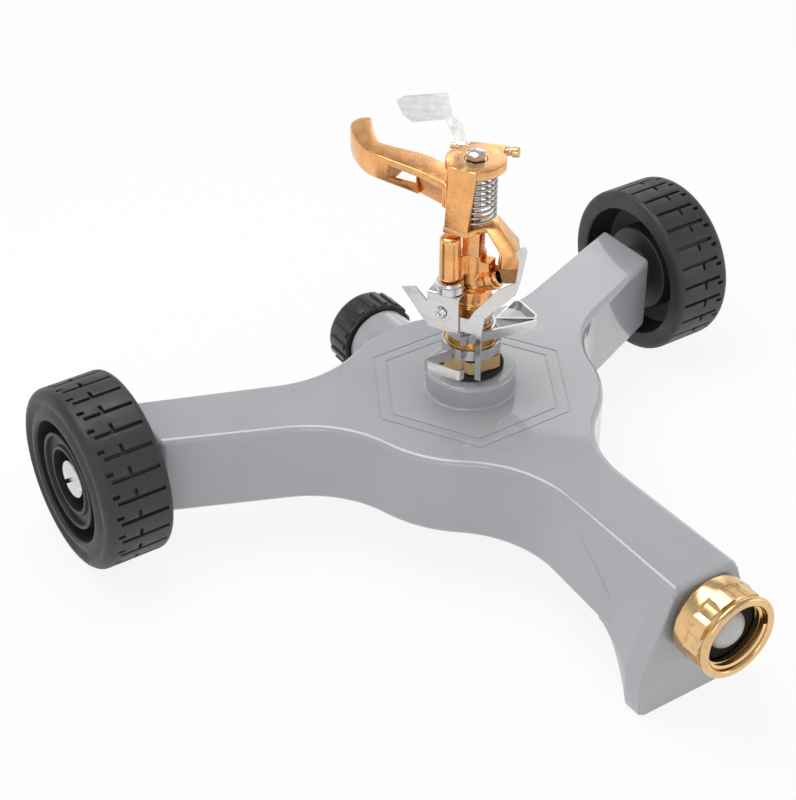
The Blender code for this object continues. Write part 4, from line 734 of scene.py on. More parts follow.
def foot_sections(inset, top):
    """Sections of the front foot from its end plane back to where it has run into the arm.
    Insets greater than the seat are of the hollow, whose foot stays open below."""
    sections = []
    for n in range(FOOT_STEPS + 1):
        back = max(0, n - 1) / (FOOT_STEPS - 1)
        y = -FRONT_ARM_Y + inset + (0 if n == 0 else FOOT_TOE + (FOOT_BLEND - FOOT_TOE) * back)
        along = (-y - HUB_RADIUS) / (FRONT_ARM_Y - HUB_RADIUS)
        half_deck = FRONT_ROOT_HALF + (FRONT_TIP_HALF - FRONT_ROOT_HALF) * along
        half_skirt = FRONT_SKIRT_ROOT + (FRONT_SKIRT_TIP - FRONT_SKIRT_ROOT) * along
        blend = (1 - back) ** 2
        shrunk = inset if inset > SEAT else inset + 2 * SEAT * back
        half = half_skirt + (FOOT_HALF - half_skirt) * blend - shrunk
        sole = SKIRT_Z * (1 - blend) - (SOLE_GAP if inset > SEAT else 0)
        corner = FOOT_CORNER * blend
        knee = max(FOOT_FLARE_Z * (0.9 + 0.1 * (1 - blend)), sole + corner + FOOT_KNEE)
        lean = (half_skirt - half_deck) / (DECK_Z - SKIRT_Z)
        half_top = half_deck + lean * (DECK_Z - top) - shrunk
        side = [(half_top, top), (half, knee), (half, sole + corner),
                (half - corner * 0.15, sole + corner * 0.3), (half - corner * 0.7, sole)]
        sections.append([(x, y, z) for x, z in side] + [(-x, y, z) for x, z in reversed(side)])
    return sections


def hexagon_groove(circumradius, width, depth):
    outer = arc((0, 0), circumradius + width / 2, 0, 2 * math.pi, 6)[:-1]
    inner = arc((0, 0), circumradius - width / 2, 0, 2 * math.pi, 6)[:-1]
    groove = slab("groove", outer, DECK_Z - depth, DECK_Z + depth)
    return cut_out(groove, slab("groove_core", inner, DECK_Z - 2 * depth, DECK_Z + 2 * depth))


def boss_form():
    """The boss with a rounded top and a hollow fillet at its foot."""
    top_round = 0.0016
    foot_fillet = 0.0008
    edge = arc((BOSS_RADIUS - top_round, BOSS_Z - top_round), top_round, math.pi / 2, 0, 5)
    foot = arc((BOSS_RADIUS + foot_fillet, DECK_Z + foot_fillet), foot_fillet, math.pi, math.pi * 1.47, 6)
    profile = [(0, BOSS_Z)] + edge + foot + [(foot[-1][0], DECK_Z - PAST), (0, DECK_Z - PAST)]
    return turned("boss", profile, 96)


def round_toe(body, toe_y):
    """Softens the foot's front edges down its sides and along its sole."""
    edit(body)

    def on_toe(edge):
        in_plane = all(abs(vertex.co.y - toe_y) < 0.00001 for vertex in edge.verts)
        return in_plane and min(abs(face.normal.y) for face in edge.link_faces) < 0.5

    pick("EDGE", on_toe)
    bpy.ops.mesh.bevel(offset=0.0009, segments=3, affect="EDGES")
    leave_edit()


def pipe(name, start, end, radius, sides):
    """A round bar along Y at the height of the waterway."""
    return rod(name, (0, start, WATER_Z), (0, end, WATER_Z), radius, sides)


def axle_rod(name, side, inner, outer, radius, sides):
    """A round bar on the axle's line of one side."""
    return rod(name, (side * inner, AXLE_Y, AXLE_Z), (side * outer, AXLE_Y, AXLE_Z), radius, sides)


def neck_form(start):
    """The neck of the waterway at the rear, with its rounded shoulder."""
    soft = 0.0012
    shoulder = arc((NECK_RADIUS - soft, NECK_END_Y - soft), soft, math.pi / 2, 0, 4)
    profile = [(0, NECK_END_Y)] + shoulder + [(NECK_RADIUS, start), (0, start)]
    return turned("neck", profile, 96, Matrix.Translation((0, 0, WATER_Z)), (0, 1, 0))


def model_casting(sizes):
    body = sled_form("casting", 0.0, SKIRT_Z, DECK_Z)
    round_edges(body, sizes.edge_round, 4, 60)
    for circumradius in HEXAGONS:
        cut_out(body, hexagon_groove(circumradius, sizes.line_width, sizes.line_depth))
    foot = foot_sections(SEAT / 2, DECK_Z - FOOT_TOP_DROP * sizes.edge_round)
    weld_on(body, loft("foot", foot), boss_form())
    round_toe(body, -FRONT_ARM_Y + SEAT / 2)
    cut_out(body, sled_form("cavity", WALL, SKIRT_Z - PAST, DECK_Z - WALL),
            loft("foot_cavity", foot_sections(WALL, DECK_Z - 3 * WALL)))
    riser_foot_z = WATER_Z - WATERWAY_RADIUS / 3
    neck_start = HUB_RADIUS - 2 * WALL
    core_radius = NECK_THREAD_RADIUS - sizes.thread_depth
    weld_on(body,
            pipe("waterway", -FRONT_ARM_Y + PAST, neck_start + 3 * PAST, WATERWAY_RADIUS, 64),
            upright_rod("riser", riser_foot_z, BOSS_Z - 2 * PAST, RISER_RADIUS, 64),
            neck_form(neck_start),
            pipe("neck_core", NECK_END_Y - PAST, NECK_THREAD_END_Y, core_radius, 64))
    inner = SIDE_ARM_X - WALL / 2
    for side in (1, -1):
        weld_on(body,
                axle_rod("axle_boss", side, inner, SIDE_ARM_X + AXLE_BOSS_OUT, AXLE_BOSS_RADIUS, 64),
                axle_rod("axle_root", side, SIDE_ARM_X - AXLE_ROOT, inner, AXLE_ROOT_RADIUS, 48))
    bore_start = -FRONT_ARM_Y - BORE_START
    cut_out(body,
            upright_rod("plug_bore", RISER_FLOOR_Z, BOSS_Z + 0.01, PLUG_RADIUS + SEAT, 64),
            upright_rod("riser_bore", riser_foot_z, RISER_FLOOR_Z + PAST, RISER_BORE, 48),
            pipe("water_bore", bore_start, NECK_THREAD_END_Y + BORE_START, WATERWAY_BORE, 48),
            pipe("nipple_bore", bore_start, -FRONT_ARM_Y + NIPPLE_SUNK + SEAT, NIPPLE_RADIUS + SEAT, 64))
    for side in (1, -1):
        cut_out(body, axle_rod("axle_bore", side, SIDE_ARM_X - AXLE_ROOT - PAST, SIDE_ARM_X + 0.01,
                               AXLE_RADIUS + SEAT, 32))
    thread = thread_ridge("neck_thread", core_radius, sizes, NECK_THREAD_END_Y - NECK_END_Y - THREAD_SHORTER)
    thread_place = Matrix.Translation((0, NECK_END_Y + THREAD_START, WATER_Z))
    put(thread, thread_place @ Matrix.Rotation(-math.pi / 2, 4, "X"))
    even_shading(body, 30)
    smooth(thread, 30)
    return put(join_meshes(body, thread), SLED)


def thread_ridge(name, wall, sizes, run, inward=False):
    """A hose thread ridge on a wall of the given radius, from height 0 to run along Z."""
    side = -1 if inward else 1
    crest = wall + side * sizes.thread_depth
    root = wall - side * 0.0002
    foot = sizes.thread_pitch * 0.38
    land = sizes.thread_pitch * 0.12
    turns = int((run - 2 * foot) / sizes.thread_pitch)
    profile = [(root, 0), (crest, foot - land), (crest, foot + land), (root, 2 * foot)]
    return helix(name, profile, sizes.thread_pitch, turns, 48)


class SPRINKLER_OT_casting(bpy.types.Operator):
    """Models the three-armed casting with its foot, boss, neck and hollow underside"""
    bl_idname = "sprinkler.casting"
    bl_label = "Casting"

    def execute(self, context):
        body = model_casting(context.scene.sprinkler_sizes)
        name_it(body, "sled_casting")
        stand_for(body, finish("enamel"), "base", "grey_paint", "base_casting")
        return {"FINISHED"}


# Wheels: one turned form; its tread is cut by pressing faces in

WHEEL_RADIUS = 0.0373
WHEEL_WIDTH = 0.0288
WHEEL_INNER_X = 0.1259
STEPS_PER_BAR = 6
BOLT_HEAD_RADIUS = 0.0080
BOLT_HEAD = 0.0040
AXLE_WASHER = 0.0012
HUB_FACE = WHEEL_WIDTH - 0.0089
TREAD_ROWS = (0.0242, 0.0227, 0.0213, 0.0153, 0.0139, 0.0026)

# Radii of each ring's two sides, its height, and the floors outside and inside it, above the web
WHEEL_RINGS = ((0.0200, 0.0184, 0.0087, 0, 0.0066), (0.0143, 0.0126, 0.0080, 0.0066, 0))


def wheel_profile():
    """Radius and height above the inner face: outer face, recess with its rings, bore, back, tread."""
    width = WHEEL_WIDTH
    bore = AXLE_RADIUS + 0.0004
    web = width - 0.0100
    recess = [(0.0331, width - 0.0004), (0.0324, width - 0.0006), (0.0315, width - 0.0015),
              (0.0305, width - 0.0016), (0.0290, width - 0.0008), (0.0276, width - 0.0002)]
    recess += arc((0.0264, width - 0.0014), 0.0014, math.pi / 2, math.pi, 5) + [(0.0241, web)]
    soft = 0.0006
    rings = []
    for outer, inner, height, outer_floor, inner_floor in WHEEL_RINGS:
        rings += [(outer + 0.0003, web + outer_floor)]
        rings += arc((outer - soft, web + height - soft), soft, 0, math.pi / 2, 3)
        rings += arc((inner + soft, web + height - soft), soft, math.pi / 2, math.pi, 3)
        rings += [(inner, web + inner_floor)]
    hub = [(0.0101, web), (0.0100, HUB_FACE - 0.0003), (0.0097, HUB_FACE), (bore, HUB_FACE),
           (bore, SEAT), (0.0097, SEAT), (0.0100, SEAT + 0.0003), (0.0104, 0.0048)]
    back = [(0.0186, 0.0052), (0.0190, 0.0056), (0.0194, 0.0137), (0.0276, 0.0138), (0.0282, 0.0134),
            (0.0294, 0.0012)]
    back += arc((0.0303, 0.0010), 0.0010, math.pi, math.pi * 3 / 2, 3)
    inner_shoulder = arc((WHEEL_RADIUS - 0.0024, 0.0024), 0.0024, -math.pi / 2, 0, 5)
    tread = [(WHEEL_RADIUS, height) for height in reversed(TREAD_ROWS[1:])]
    outer_shoulder = arc((WHEEL_RADIUS - 0.0042, width - 0.0046), 0.0042, 0, math.pi / 2, 8)[:-1]
    return recess + rings + hub + back + inner_shoulder + tread + outer_shoulder


def tread_face(centre, bars):
    """True for the faces that become grooves: slots across, half-width links and shoulder notches."""
    if math.hypot(centre.x, centre.y) < WHEEL_RADIUS - 0.0003:
        return False
    place = turn_step(centre, bars * STEPS_PER_BAR) % STEPS_PER_BAR
    top, shoulder, notch, link_top, link_foot, foot = TREAD_ROWS
    if place == 0:
        return foot < centre.z < shoulder
    if place in (1, 2) and link_foot < centre.z < link_top:
        return True
    return place == 2 and notch < centre.z < top


def model_wheel(name, sizes):
    """The wheel stands on its inner face at the origin, its axis up."""
    bars = sizes.tread_bars
    wheel = turned(name, wheel_profile(), bars * STEPS_PER_BAR)
    press_faces(wheel, lambda centre: tread_face(centre, bars), -sizes.tread_depth)
    round_edges(wheel, 0.00022, 2, 50)
    # The recess and the pocket round the bolt take the darker rubber finish: painted shade in the deep
    # hollows.
    two_finishes(wheel, finish("moulded"), finish("rubber"), in_recess)
    return smooth(wheel, 40)


def in_recess(centre):
    """True in the two ring-shaped hollows of the outer face, which get the darker rubber finish as painted
    shade.
    """
    reach = math.hypot(centre.x, centre.y)
    deep = HUB_FACE * 0.9 < centre.z < WHEEL_WIDTH - 0.0021
    return deep and (0.0199 < reach < 0.0250 or reach < 0.0128)


def model_bolt(name):
    """Slotted shoulder bolt with its washer face down at the hub, axis up."""
    head = HUB_FACE + 2 * SEAT + AXLE_WASHER
    top = head + BOLT_HEAD
    end = SIDE_ARM_X - AXLE_ROOT + 0.0010 - WHEEL_INNER_X
    crown = arc((BOLT_HEAD_RADIUS - 0.0011, top - 0.0011), 0.0011, math.pi / 2, 0, 5)
    shank = [(BOLT_HEAD_RADIUS, head + 0.0002), (BOLT_HEAD_RADIUS - 0.0002, head), (AXLE_RADIUS, head),
             (AXLE_RADIUS, end + 0.0006), (AXLE_RADIUS - 0.0006, end), (0, end)]
    bolt = turned(name, [(0, top)] + crown + shank, 72)
    slot = block("slot", (-0.0009, -0.010, top - 0.0017), (0.0009, 0.010, top + PAST),
                 Matrix.Rotation(math.radians(-52), 4, "Z"))
    cut_out(bolt, slot)
    round_edges(bolt, 0.00015, 2, 60)
    return even_shading(bolt, 40)


class SPRINKLER_OT_wheels(bpy.types.Operator):
    """Models the treaded wheels and the slotted bolts that carry them"""
    bl_idname = "sprinkler.wheels"
    bl_label = "Wheels"

    def execute(self, context):
        sizes = context.scene.sprinkler_sizes
        patterns = (model_wheel("treaded_wheel", sizes), model_bolt("shoulder_bolt"))
        nodes = ("wheel", "axle_bolt")
        finishes = (None, finish("steel"))
        slots = ("moulded_black", "stainless")
        for side, hand in ((1, "right"), (-1, "left")):
            place = SLED @ Matrix.Translation((side * WHEEL_INNER_X, AXLE_Y, AXLE_Z)) @ aimed((side, 0, 0))
            bodies = (hand + "_wheel", "base")
            for pattern, node, coat, slot, body in zip(patterns, nodes, finishes, slots, bodies):
                piece = copy_piece(pattern, pattern.name + "_" + hand, place)
                stand_for(piece, coat, body, slot, node + "_" + hand)
        for pattern in patterns:
            bpy.data.objects.remove(pattern, do_unlink=True)
        return {"FINISHED"}


# Front coupling with its strainer, and the rear cap

COUPLING_GAP = 0.0020
COUPLING_RADIUS = 0.0168
COUPLING_LENGTH = 0.0170
COUPLING_BORE = 0.0133
COUPLING_BACK_WALL = 0.0035
COUPLING_LUGS = 8
STRAINER_FOOT = COUPLING_BACK_WALL + 3 * SEAT + 0.0018 + 0.0025
CAP_RADIUS = 0.0174
CAP_LENGTH = 0.0135
CAP_WALL = 0.0022
CAP_STEPS = 8
COUPLING_PLACE = SLED @ Matrix.Translation((0, -FRONT_ARM_Y - COUPLING_GAP, WATER_Z))
COUPLING_PLACE = COUPLING_PLACE @ Matrix.Rotation(math.pi / 2, 4, "X")
CAP_PLACE = SLED @ Matrix.Translation((0, NECK_END_Y + SEAT, WATER_Z)) @ Matrix.Rotation(-math.pi / 2, 4, "X")


def model_coupling(sizes):
    """The coupling stands on its back face at the origin, its mouth up."""
    long = COUPLING_LENGTH
    bore = COUPLING_BORE
    outer = COUPLING_RADIUS
    swivel = NIPPLE_RADIUS + SEAT
    band = [(outer - 0.0012, 0), (outer - 0.0005, 0.0004), (outer - 0.0002, 0.0012), (outer, 0.0060),
            (outer - 0.0004, 0.0067), (outer - 0.0009, 0.0069), (outer - 0.0009, long - 0.0045)]
    lip = [(outer - 0.0009, long - 0.0040)]
    lip += arc((outer - 0.0015, long - 0.0015), 0.0015, -math.pi * 0.3, math.pi * 0.5, 9)
    lip += [(bore + 0.0010, long), (bore + 0.0005, long - 0.0003), (bore, long - 0.0013)]
    inside = [(bore, COUPLING_BACK_WALL), (swivel, COUPLING_BACK_WALL), (swivel, 0)]
    coupling = turned("brass_coupling", band + lip + inside, 128)
    lug_line = [(outer - 0.0030, -0.0046), (outer - 0.0018, -0.0046), (outer - 0.00025, -0.0024),
                (outer - 0.00025, 0.0024), (outer - 0.0018, 0.0046), (outer - 0.0030, 0.0046)]
    for n in range(COUPLING_LUGS):
        lug = ring_of("lug", [(x, y, 0.0064) for x, y in lug_line], "NGON")
        edit(lug)
        extrude_selection(long - 0.0102)
        leave_edit()
        tidy_mesh(lug)
        put(lug, Matrix.Rotation(2 * math.pi * (n + 0.35) / COUPLING_LUGS, 4, "Z"))
        weld_on(coupling, lug)
    round_edges(coupling, 0.00045, 3, 40)
    even_shading(coupling, 35)
    thread_foot = STRAINER_FOOT + 0.0012
    ridge = thread_ridge("coupling_thread", bore, sizes, long - thread_foot - 0.0008, inward=True)
    put(ridge, Matrix.Translation((0, 0, thread_foot)))
    smooth(ridge, 30)
    return put(join_meshes(coupling, ridge), COUPLING_PLACE)


def model_strainer():
    """A smooth strainer dome in its black washer ring."""
    flange = STRAINER_FOOT
    radius = 0.0078
    rise = 0.0045
    skin = 0.0007
    rows = 9
    dome = [(radius * math.cos(math.pi / 2 * n / rows),
             flange + 0.0010 + rise * math.sin(math.pi / 2 * n / rows)) for n in range(rows, -1, -1)]
    dome[0] = (0, dome[0][1])
    hollow = [(max(0, x - skin), z - skin) for x, z in reversed(dome)]
    rim = [(radius + 0.0006, flange + 0.0010), (COUPLING_BORE - 0.0008, flange + 0.0010),
           (COUPLING_BORE - 0.0006, flange + 0.0008), (COUPLING_BORE - 0.0006, flange)]
    strainer = turned("domed_strainer", dome + rim + [(radius - skin, flange)] + hollow, 72)
    two_finishes(strainer, finish("strainer"), finish("rubber"),
                 lambda centre: math.hypot(*centre.xy) > radius + 0.0002)
    smooth(strainer, 30)
    return put(strainer, COUPLING_PLACE)


def model_cap(sizes):
    """The cap stands on its open end at the origin; its grip ribs are drawn out of its wall."""
    ribs = sizes.cap_ribs
    steps = ribs * CAP_STEPS
    wall = CAP_RADIUS - 0.0009
    bore = NECK_THREAD_RADIUS + 0.0004
    end = CAP_LENGTH
    crown = arc((wall - 0.0014, end - 0.0014), 0.0014, 0, math.pi / 2, 5)
    face = [(0.0118, end), (0.0112, end - 0.0005), (0, end - 0.0005)]
    foot = [(bore, 0), (wall - 0.0003, 0), (wall, 0.0003), (wall, 0.0010), (wall, end - 0.0022)]
    profile = foot + crown + face + [(0, end - CAP_WALL), (bore, end - CAP_WALL)]
    cap = turned("ribbed_cap", profile, steps)

    def on_rib(centre):
        on_side = math.hypot(centre.x, centre.y) > wall - 0.0002 and 0.0010 < centre.z < end - 0.0022
        return on_side and turn_step(centre, steps) % CAP_STEPS < CAP_STEPS / 2

    press_faces(cap, on_rib, 0.0009)
    round_edges(cap, 0.00028, 3, 50)
    smooth(cap, 35)
    return put(cap, CAP_PLACE)


class SPRINKLER_OT_waterway(bpy.types.Operator):
    """Models the brass hose coupling, its domed strainer and the ribbed rear cap"""
    bl_idname = "sprinkler.waterway"
    bl_label = "Waterway"

    def execute(self, context):
        sizes = context.scene.sprinkler_sizes
        stand_for(model_coupling(sizes), finish("brass"), "coupling", "brass", "hose_coupling")
        stand_for(model_strainer(), None, "coupling", "grey_plastic", "inlet_screen")
        stand_for(model_cap(sizes), finish("cap"), "cap", "moulded_black", "end_cap")
        return {"FINISHED"}


# Head seat: washer, bearing nut and the two trip collars

WASHER_Z = BOSS_Z + SEAT
BASE_WASHER_RADIUS = 0.0130
BASE_WASHER = 0.0020
NUT_Z = WASHER_Z + BASE_WASHER + SEAT
NUT_FLATS = 0.0220
NUT_HEX = 0.0064
NUT_TURN = math.radians(27)
LOWER_SEAT_Z = NUT_Z + NUT_HEX
LOWER_SEAT_RADIUS = 0.0105
UPPER_SEAT_Z = LOWER_SEAT_Z + 0.0050
UPPER_SEAT_RADIUS = 0.0082
NUT_TOP_Z = UPPER_SEAT_Z + 0.0073
NUT_BORE = 0.0066
PLUG_Z = BOSS_Z - 0.0110
STRIP = 0.0009
STRIP_HEIGHT = 0.0044
COLLAR_RAISE = 0.0023
UPPER_HANDLE_SIDE = 0.0186
UPPER_HANDLE_ANGLE = math.radians(37.6)
UPPER_HANDLE_SKEW = math.radians(19.6)
UPPER_TAIL = 0.0085
LOWER_HANDLE_SIDE = 0.0200
LOWER_HANDLE_ANGLE = math.radians(269)
LOWER_HANDLE_REACH = 0.0248
BEND = 0.0014


def model_washer():
    soft = 0.0004
    outer = BASE_WASHER_RADIUS
    low, high = WASHER_Z, WASHER_Z + BASE_WASHER
    bore = PLUG_RADIUS + SEAT
    profile = [(outer - soft, low), (outer, low + soft), (outer, high - soft), (outer - soft, high),
               (bore, high), (bore, low)]
    return put(smooth(turned("rubber_washer", profile, 96), 50), SLED)


def hexagon_bar(name, flats, low, high, turn, chamfer):
    """A hexagon whose corners are taken off by a cone at both ends."""
    corner = flats / math.sqrt(3)
    bar = rod(name, (0, 0, low), (0, 0, high), corner, 6, turn)
    edge = flats / 2 - 0.0003
    lens = turned("lens", [(0, high + 0.00001), (edge, high + 0.00001), (corner + 0.0001, high - chamfer),
                           (corner + 0.0001, low + chamfer), (edge, low - 0.00001), (0, low - 0.00001)], 72)
    return shape_with(bar, lens, "INTERSECT")


def model_bearing_nut():
    nut = hexagon_bar("brass_bearing_nut", NUT_FLATS, NUT_Z, LOWER_SEAT_Z, NUT_TURN, 0.0009)
    soft = 0.0003
    stem = turned("stem", [(0, NUT_TOP_Z), (UPPER_SEAT_RADIUS - soft, NUT_TOP_Z),
                           (UPPER_SEAT_RADIUS, NUT_TOP_Z - soft), (UPPER_SEAT_RADIUS, UPPER_SEAT_Z),
                           (LOWER_SEAT_RADIUS - soft, UPPER_SEAT_Z), (LOWER_SEAT_RADIUS, UPPER_SEAT_Z - soft),
                           (LOWER_SEAT_RADIUS, LOWER_SEAT_Z - PAST), (PLUG_RADIUS, LOWER_SEAT_Z - PAST),
                           (PLUG_RADIUS, PLUG_Z + soft), (PLUG_RADIUS - soft, PLUG_Z), (0, PLUG_Z)], 72)
    weld_on(nut, stem)
    cut_out(nut, upright_rod("nut_bore", PLUG_Z - PAST, NUT_TOP_Z + PAST, NUT_BORE, 48))
    return put(even_shading(nut, 30), SLED)


def three_corners(tip, side, direction):
    """Corners of an equilateral triangle from its tip."""
    corners = [Vector(tip)]
    for spread in (-math.pi / 6, math.pi / 6):
        angle = direction + spread
        corners.append(Vector((tip[0] + side * math.cos(angle), tip[1] + side * math.sin(angle))))
    return corners


def bent_corners(corners, radii):
    """An outline whose corners are turned into arcs, as a strip bends round them."""
    points = []
    count = len(corners)
    for n, (corner, radius) in enumerate(zip(corners, radii)):
        before = (corners[n - 1] - corner).normalized()
        after = (corners[(n + 1) % count] - corner).normalized()
        half = math.acos(max(-1, min(1, before.dot(after)))) / 2
        centre = corner + (before + after).normalized() * (radius / math.sin(half))
        first = corner + before * (radius / math.tan(half)) - centre
        last = corner + after * (radius / math.tan(half)) - centre
        start = math.atan2(first.y, first.x)
        sweep = (math.atan2(last.y, last.x) - start + math.pi) % (2 * math.pi) - math.pi
        points += arc(centre, radius, start, start + sweep, 8)
    return points


def model_collar(name, bore, low, angle, corners, tail=0.0):
    """A strip bent to a ring round its seat and on to a three-sided handle."""
    high = low + STRIP_HEIGHT
    ring = upright_rod(name, low, high, bore + STRIP, 96)
    centre = sum(corners, Vector((0, 0))) / 3
    scale = 1 - STRIP / ((corners[1] - corners[2]).length / math.sqrt(12))
    inner = [centre + (corner - centre) * scale for corner in corners]
    handle = slab("handle", bent_corners(corners, (0.0001, BEND + STRIP, BEND + STRIP)), low, high)
    cut_out(handle, slab("handle_core", bent_corners(inner, (0.0003, BEND, BEND)), low - PAST, high + PAST))
    weld_on(ring, handle)
    if tail:
        corner = corners[1]
        radius = bore + STRIP / 2
        reach = math.sqrt(corner.length ** 2 - radius ** 2)
        turn = math.atan2(corner.y, corner.x) - math.atan2(reach, radius)
        touch = Vector((radius * math.cos(turn), radius * math.sin(turn)))
        along = (touch - corner).normalized()
        across = Vector((-along.y, along.x)) * STRIP / 2
        start = corner + along * (STRIP + BEND)
        end = touch + along * tail
        weld_on(ring, slab("tail", [start + across, start - across, end - across, end + across],
                           low + 0.0001, high - 0.0001))
    cut_out(ring, upright_rod("collar_bore", low - PAST, high + PAST, bore, 96))
    round_edges(ring, 0.00015, 2, 60)
    even_shading(ring, 30)
    return put(ring, HEAD @ Matrix.Rotation(angle, 4, "Z"))


class SPRINKLER_OT_seat(bpy.types.Operator):
    """Models the rubber washer, the hexagon bearing nut and the two trip collars"""
    bl_idname = "sprinkler.seat"
    bl_label = "Head seat"

    def execute(self, context):
        stand_for(model_washer(), finish("rubber"), "base", "rubber", "base_washer")
        stand_for(model_bearing_nut(), finish("brass"), "base", "brass", "bearing_nut")
        bore = UPPER_SEAT_RADIUS + SEAT
        corners = three_corners((bore + STRIP / 2, 0), UPPER_HANDLE_SIDE, UPPER_HANDLE_SKEW)
        upper = model_collar("upper_trip_collar", bore, UPPER_SEAT_Z + COLLAR_RAISE, UPPER_HANDLE_ANGLE,
                             corners, UPPER_TAIL)
        stand_for(upper, finish("strip"), "upper_collar", "stainless", "trip_collar_upper")
        bore = LOWER_SEAT_RADIUS + SEAT
        tip = LOWER_HANDLE_REACH - LOWER_HANDLE_SIDE * math.sqrt(3) / 2
        corners = three_corners((tip, 0), LOWER_HANDLE_SIDE, 0)
        lower = model_collar("lower_trip_collar", bore, LOWER_SEAT_Z + SEAT, LOWER_HANDLE_ANGLE, corners)
        stand_for(lower, finish("strip"), "lower_collar", "stainless", "trip_collar_lower")
        return {"FINISHED"}


# Head body: one soft casting with bearing hub, post, column and barrel

HUB_Z = NUT_TOP_Z + 0.0037
HUB_TOP_Z = HUB_Z + 0.0120
BODY_HUB_RADIUS = 0.0086
BODY_SKIRT = 0.0062
BODY_NECK_RADIUS = 0.0072
SLEEVE_RADIUS = 0.0062
SLEEVE_BORE = 0.0045
POST_RADIUS = 0.0050
POST_TOP_Z = HUB_TOP_Z + 0.0160
SHEET = 0.0008
BRACKET_Z = HUB_TOP_Z + SEAT
BRACKET_NUT_Z = BRACKET_Z + SHEET + SEAT
BRACKET_NUT = 0.0050
COLUMN_RADIUS = 0.00415
COLUMN = Vector((-0.0050, -0.0100))
COLUMN_Z = BRACKET_NUT_Z + BRACKET_NUT + SEAT
COLUMN_TOP_Z = COLUMN_Z + 0.0189
WEB_THICKNESS = 0.0040
WEB_HEIGHT = 0.0092
BARREL_TILT = math.radians(27)
BARREL_RISE = 0.0015
BARREL_RADIUS = 0.0050
BARREL_LENGTH = 0.0110
NOZZLE_RADIUS = 0.0036
NOZZLE_SEAT = 0.0060
NOZZLE_OUT = 0.0018
CHANNEL_RADIUS = 0.0030
SCREW_RADIUS = 0.0016
SCREW_REACH = 0.0100
PIN_RADIUS = 0.0023
PIN_SUNK = 0.0095


def along_barrel(distance):
    return Vector((distance * math.cos(BARREL_TILT), 0,
                   HUB_TOP_Z + BARREL_RISE + distance * math.sin(BARREL_TILT)))


def melt(obj, grid, passes):
    """Runs welded forms into one another, as a sand casting does."""
    only(obj)
    obj.data.remesh_voxel_size = grid
    bpy.ops.object.voxel_remesh()
    soft = obj.modifiers.new("soft", "SMOOTH")
    soft.factor = 0.5
    soft.iterations = passes
    return apply_all(obj)


def model_head_body():
    soft = 0.0006
    neck = BODY_NECK_RADIUS
    flank = arc((neck + 0.0014, HUB_Z + BODY_SKIRT + 0.0014), 0.0014, math.pi, math.pi * 1.5, 5)
    body = turned("bronze_body",
                  [(0, POST_TOP_Z), (POST_RADIUS - soft, POST_TOP_Z), (POST_RADIUS, POST_TOP_Z - soft),
                   (POST_RADIUS, HUB_TOP_Z + soft), (POST_RADIUS + soft, HUB_TOP_Z),
                   (neck - soft / 2, HUB_TOP_Z), (neck, HUB_TOP_Z - soft / 2)] + flank
                  + [(BODY_HUB_RADIUS, HUB_Z + BODY_SKIRT - soft), (BODY_HUB_RADIUS, HUB_Z + soft),
                     (BODY_HUB_RADIUS - soft, HUB_Z), (0, HUB_Z)], 72)
    top = arc((COLUMN_RADIUS - 0.0018, COLUMN_TOP_Z - 0.0018), 0.0018, math.pi / 2, 0, 6)
    foot = [(COLUMN_RADIUS, COLUMN_Z + 0.0012), (COLUMN_RADIUS - 0.0008, COLUMN_Z), (0, COLUMN_Z)]
    column = turned("column", [(0, COLUMN_TOP_Z)] + top + foot, 48, Matrix.Translation((*COLUMN, 0)))
    web = block("web", (COLUMN.length * 0.1, -WEB_THICKNESS / 2, COLUMN_Z + 0.0008),
                (COLUMN.length, WEB_THICKNESS / 2, COLUMN_Z + WEB_HEIGHT),
                Matrix.Rotation(math.atan2(COLUMN.y, COLUMN.x), 4, "Z"))
    long = BARREL_LENGTH
    waist = BARREL_RADIUS * 0.90
    barrel = turned("barrel", [(0, -PAST), (BARREL_RADIUS, -PAST), (BARREL_RADIUS, 0.0020), (waist, 0.0038),
                               (waist, long - 0.0034), (BARREL_RADIUS * 0.97, long - 0.0027),
                               (BARREL_RADIUS * 0.97, long), (0, long)], 48,
                    Matrix.Translation(along_barrel(0)), along_barrel(1) - along_barrel(0))
    cheek = block("cheek", (-POST_RADIUS * 0.8, -0.0030, HUB_TOP_Z + 0.0060),
                  (POST_RADIUS + 0.0030, 0.0030, POST_TOP_Z - 0.0030))
    weld_on(body, column, web, barrel, cheek)
    melt(body, 0.00030, 4)
    bore_top = HUB_Z + BODY_SKIRT + 0.002 + SEAT
    cut_out(body,
            upright_rod("sleeve_bore", HUB_Z - PAST, bore_top, SLEEVE_RADIUS + SEAT, 48),
            upright_rod("channel", bore_top - PAST, HUB_TOP_Z + BARREL_RISE, SLEEVE_BORE, 40),
            rod("barrel_bore", along_barrel(0), along_barrel(long + 0.002), CHANNEL_RADIUS, 40),
            rod("nozzle_seat", along_barrel(long - NOZZLE_SEAT), along_barrel(long + 0.004),
                NOZZLE_RADIUS + SEAT, 48),
            upright_rod("pin_seat", POST_TOP_Z - PIN_SUNK - SEAT, POST_TOP_Z + PAST, PIN_RADIUS + SEAT, 32),
            rod("screw_hole", (*COLUMN, COLUMN_Z - PAST), (*COLUMN, COLUMN_Z + SCREW_REACH + SEAT),
                SCREW_RADIUS + SEAT, 24))
    smooth(body, 38)
    return put(body, HEAD)


def model_nozzle():
    """Brass nozzle with a flared, chamfered mouth."""
    start = BARREL_LENGTH - NOZZLE_SEAT + SEAT
    end = BARREL_LENGTH + NOZZLE_OUT
    radius = NOZZLE_RADIUS
    profile = [(radius - 0.0004, end), (radius, end - 0.0004), (radius, start + 0.0003),
               (radius - 0.0003, start), (0.0028, start), (0.0022, start + 0.0020), (0.0022, end - 0.0010),
               (0.0029, end)]
    nozzle = turned("brass_nozzle", profile, 64, Matrix.Translation(along_barrel(0)),
                    along_barrel(1) - along_barrel(0))
    return put(smooth(nozzle, 30), HEAD)


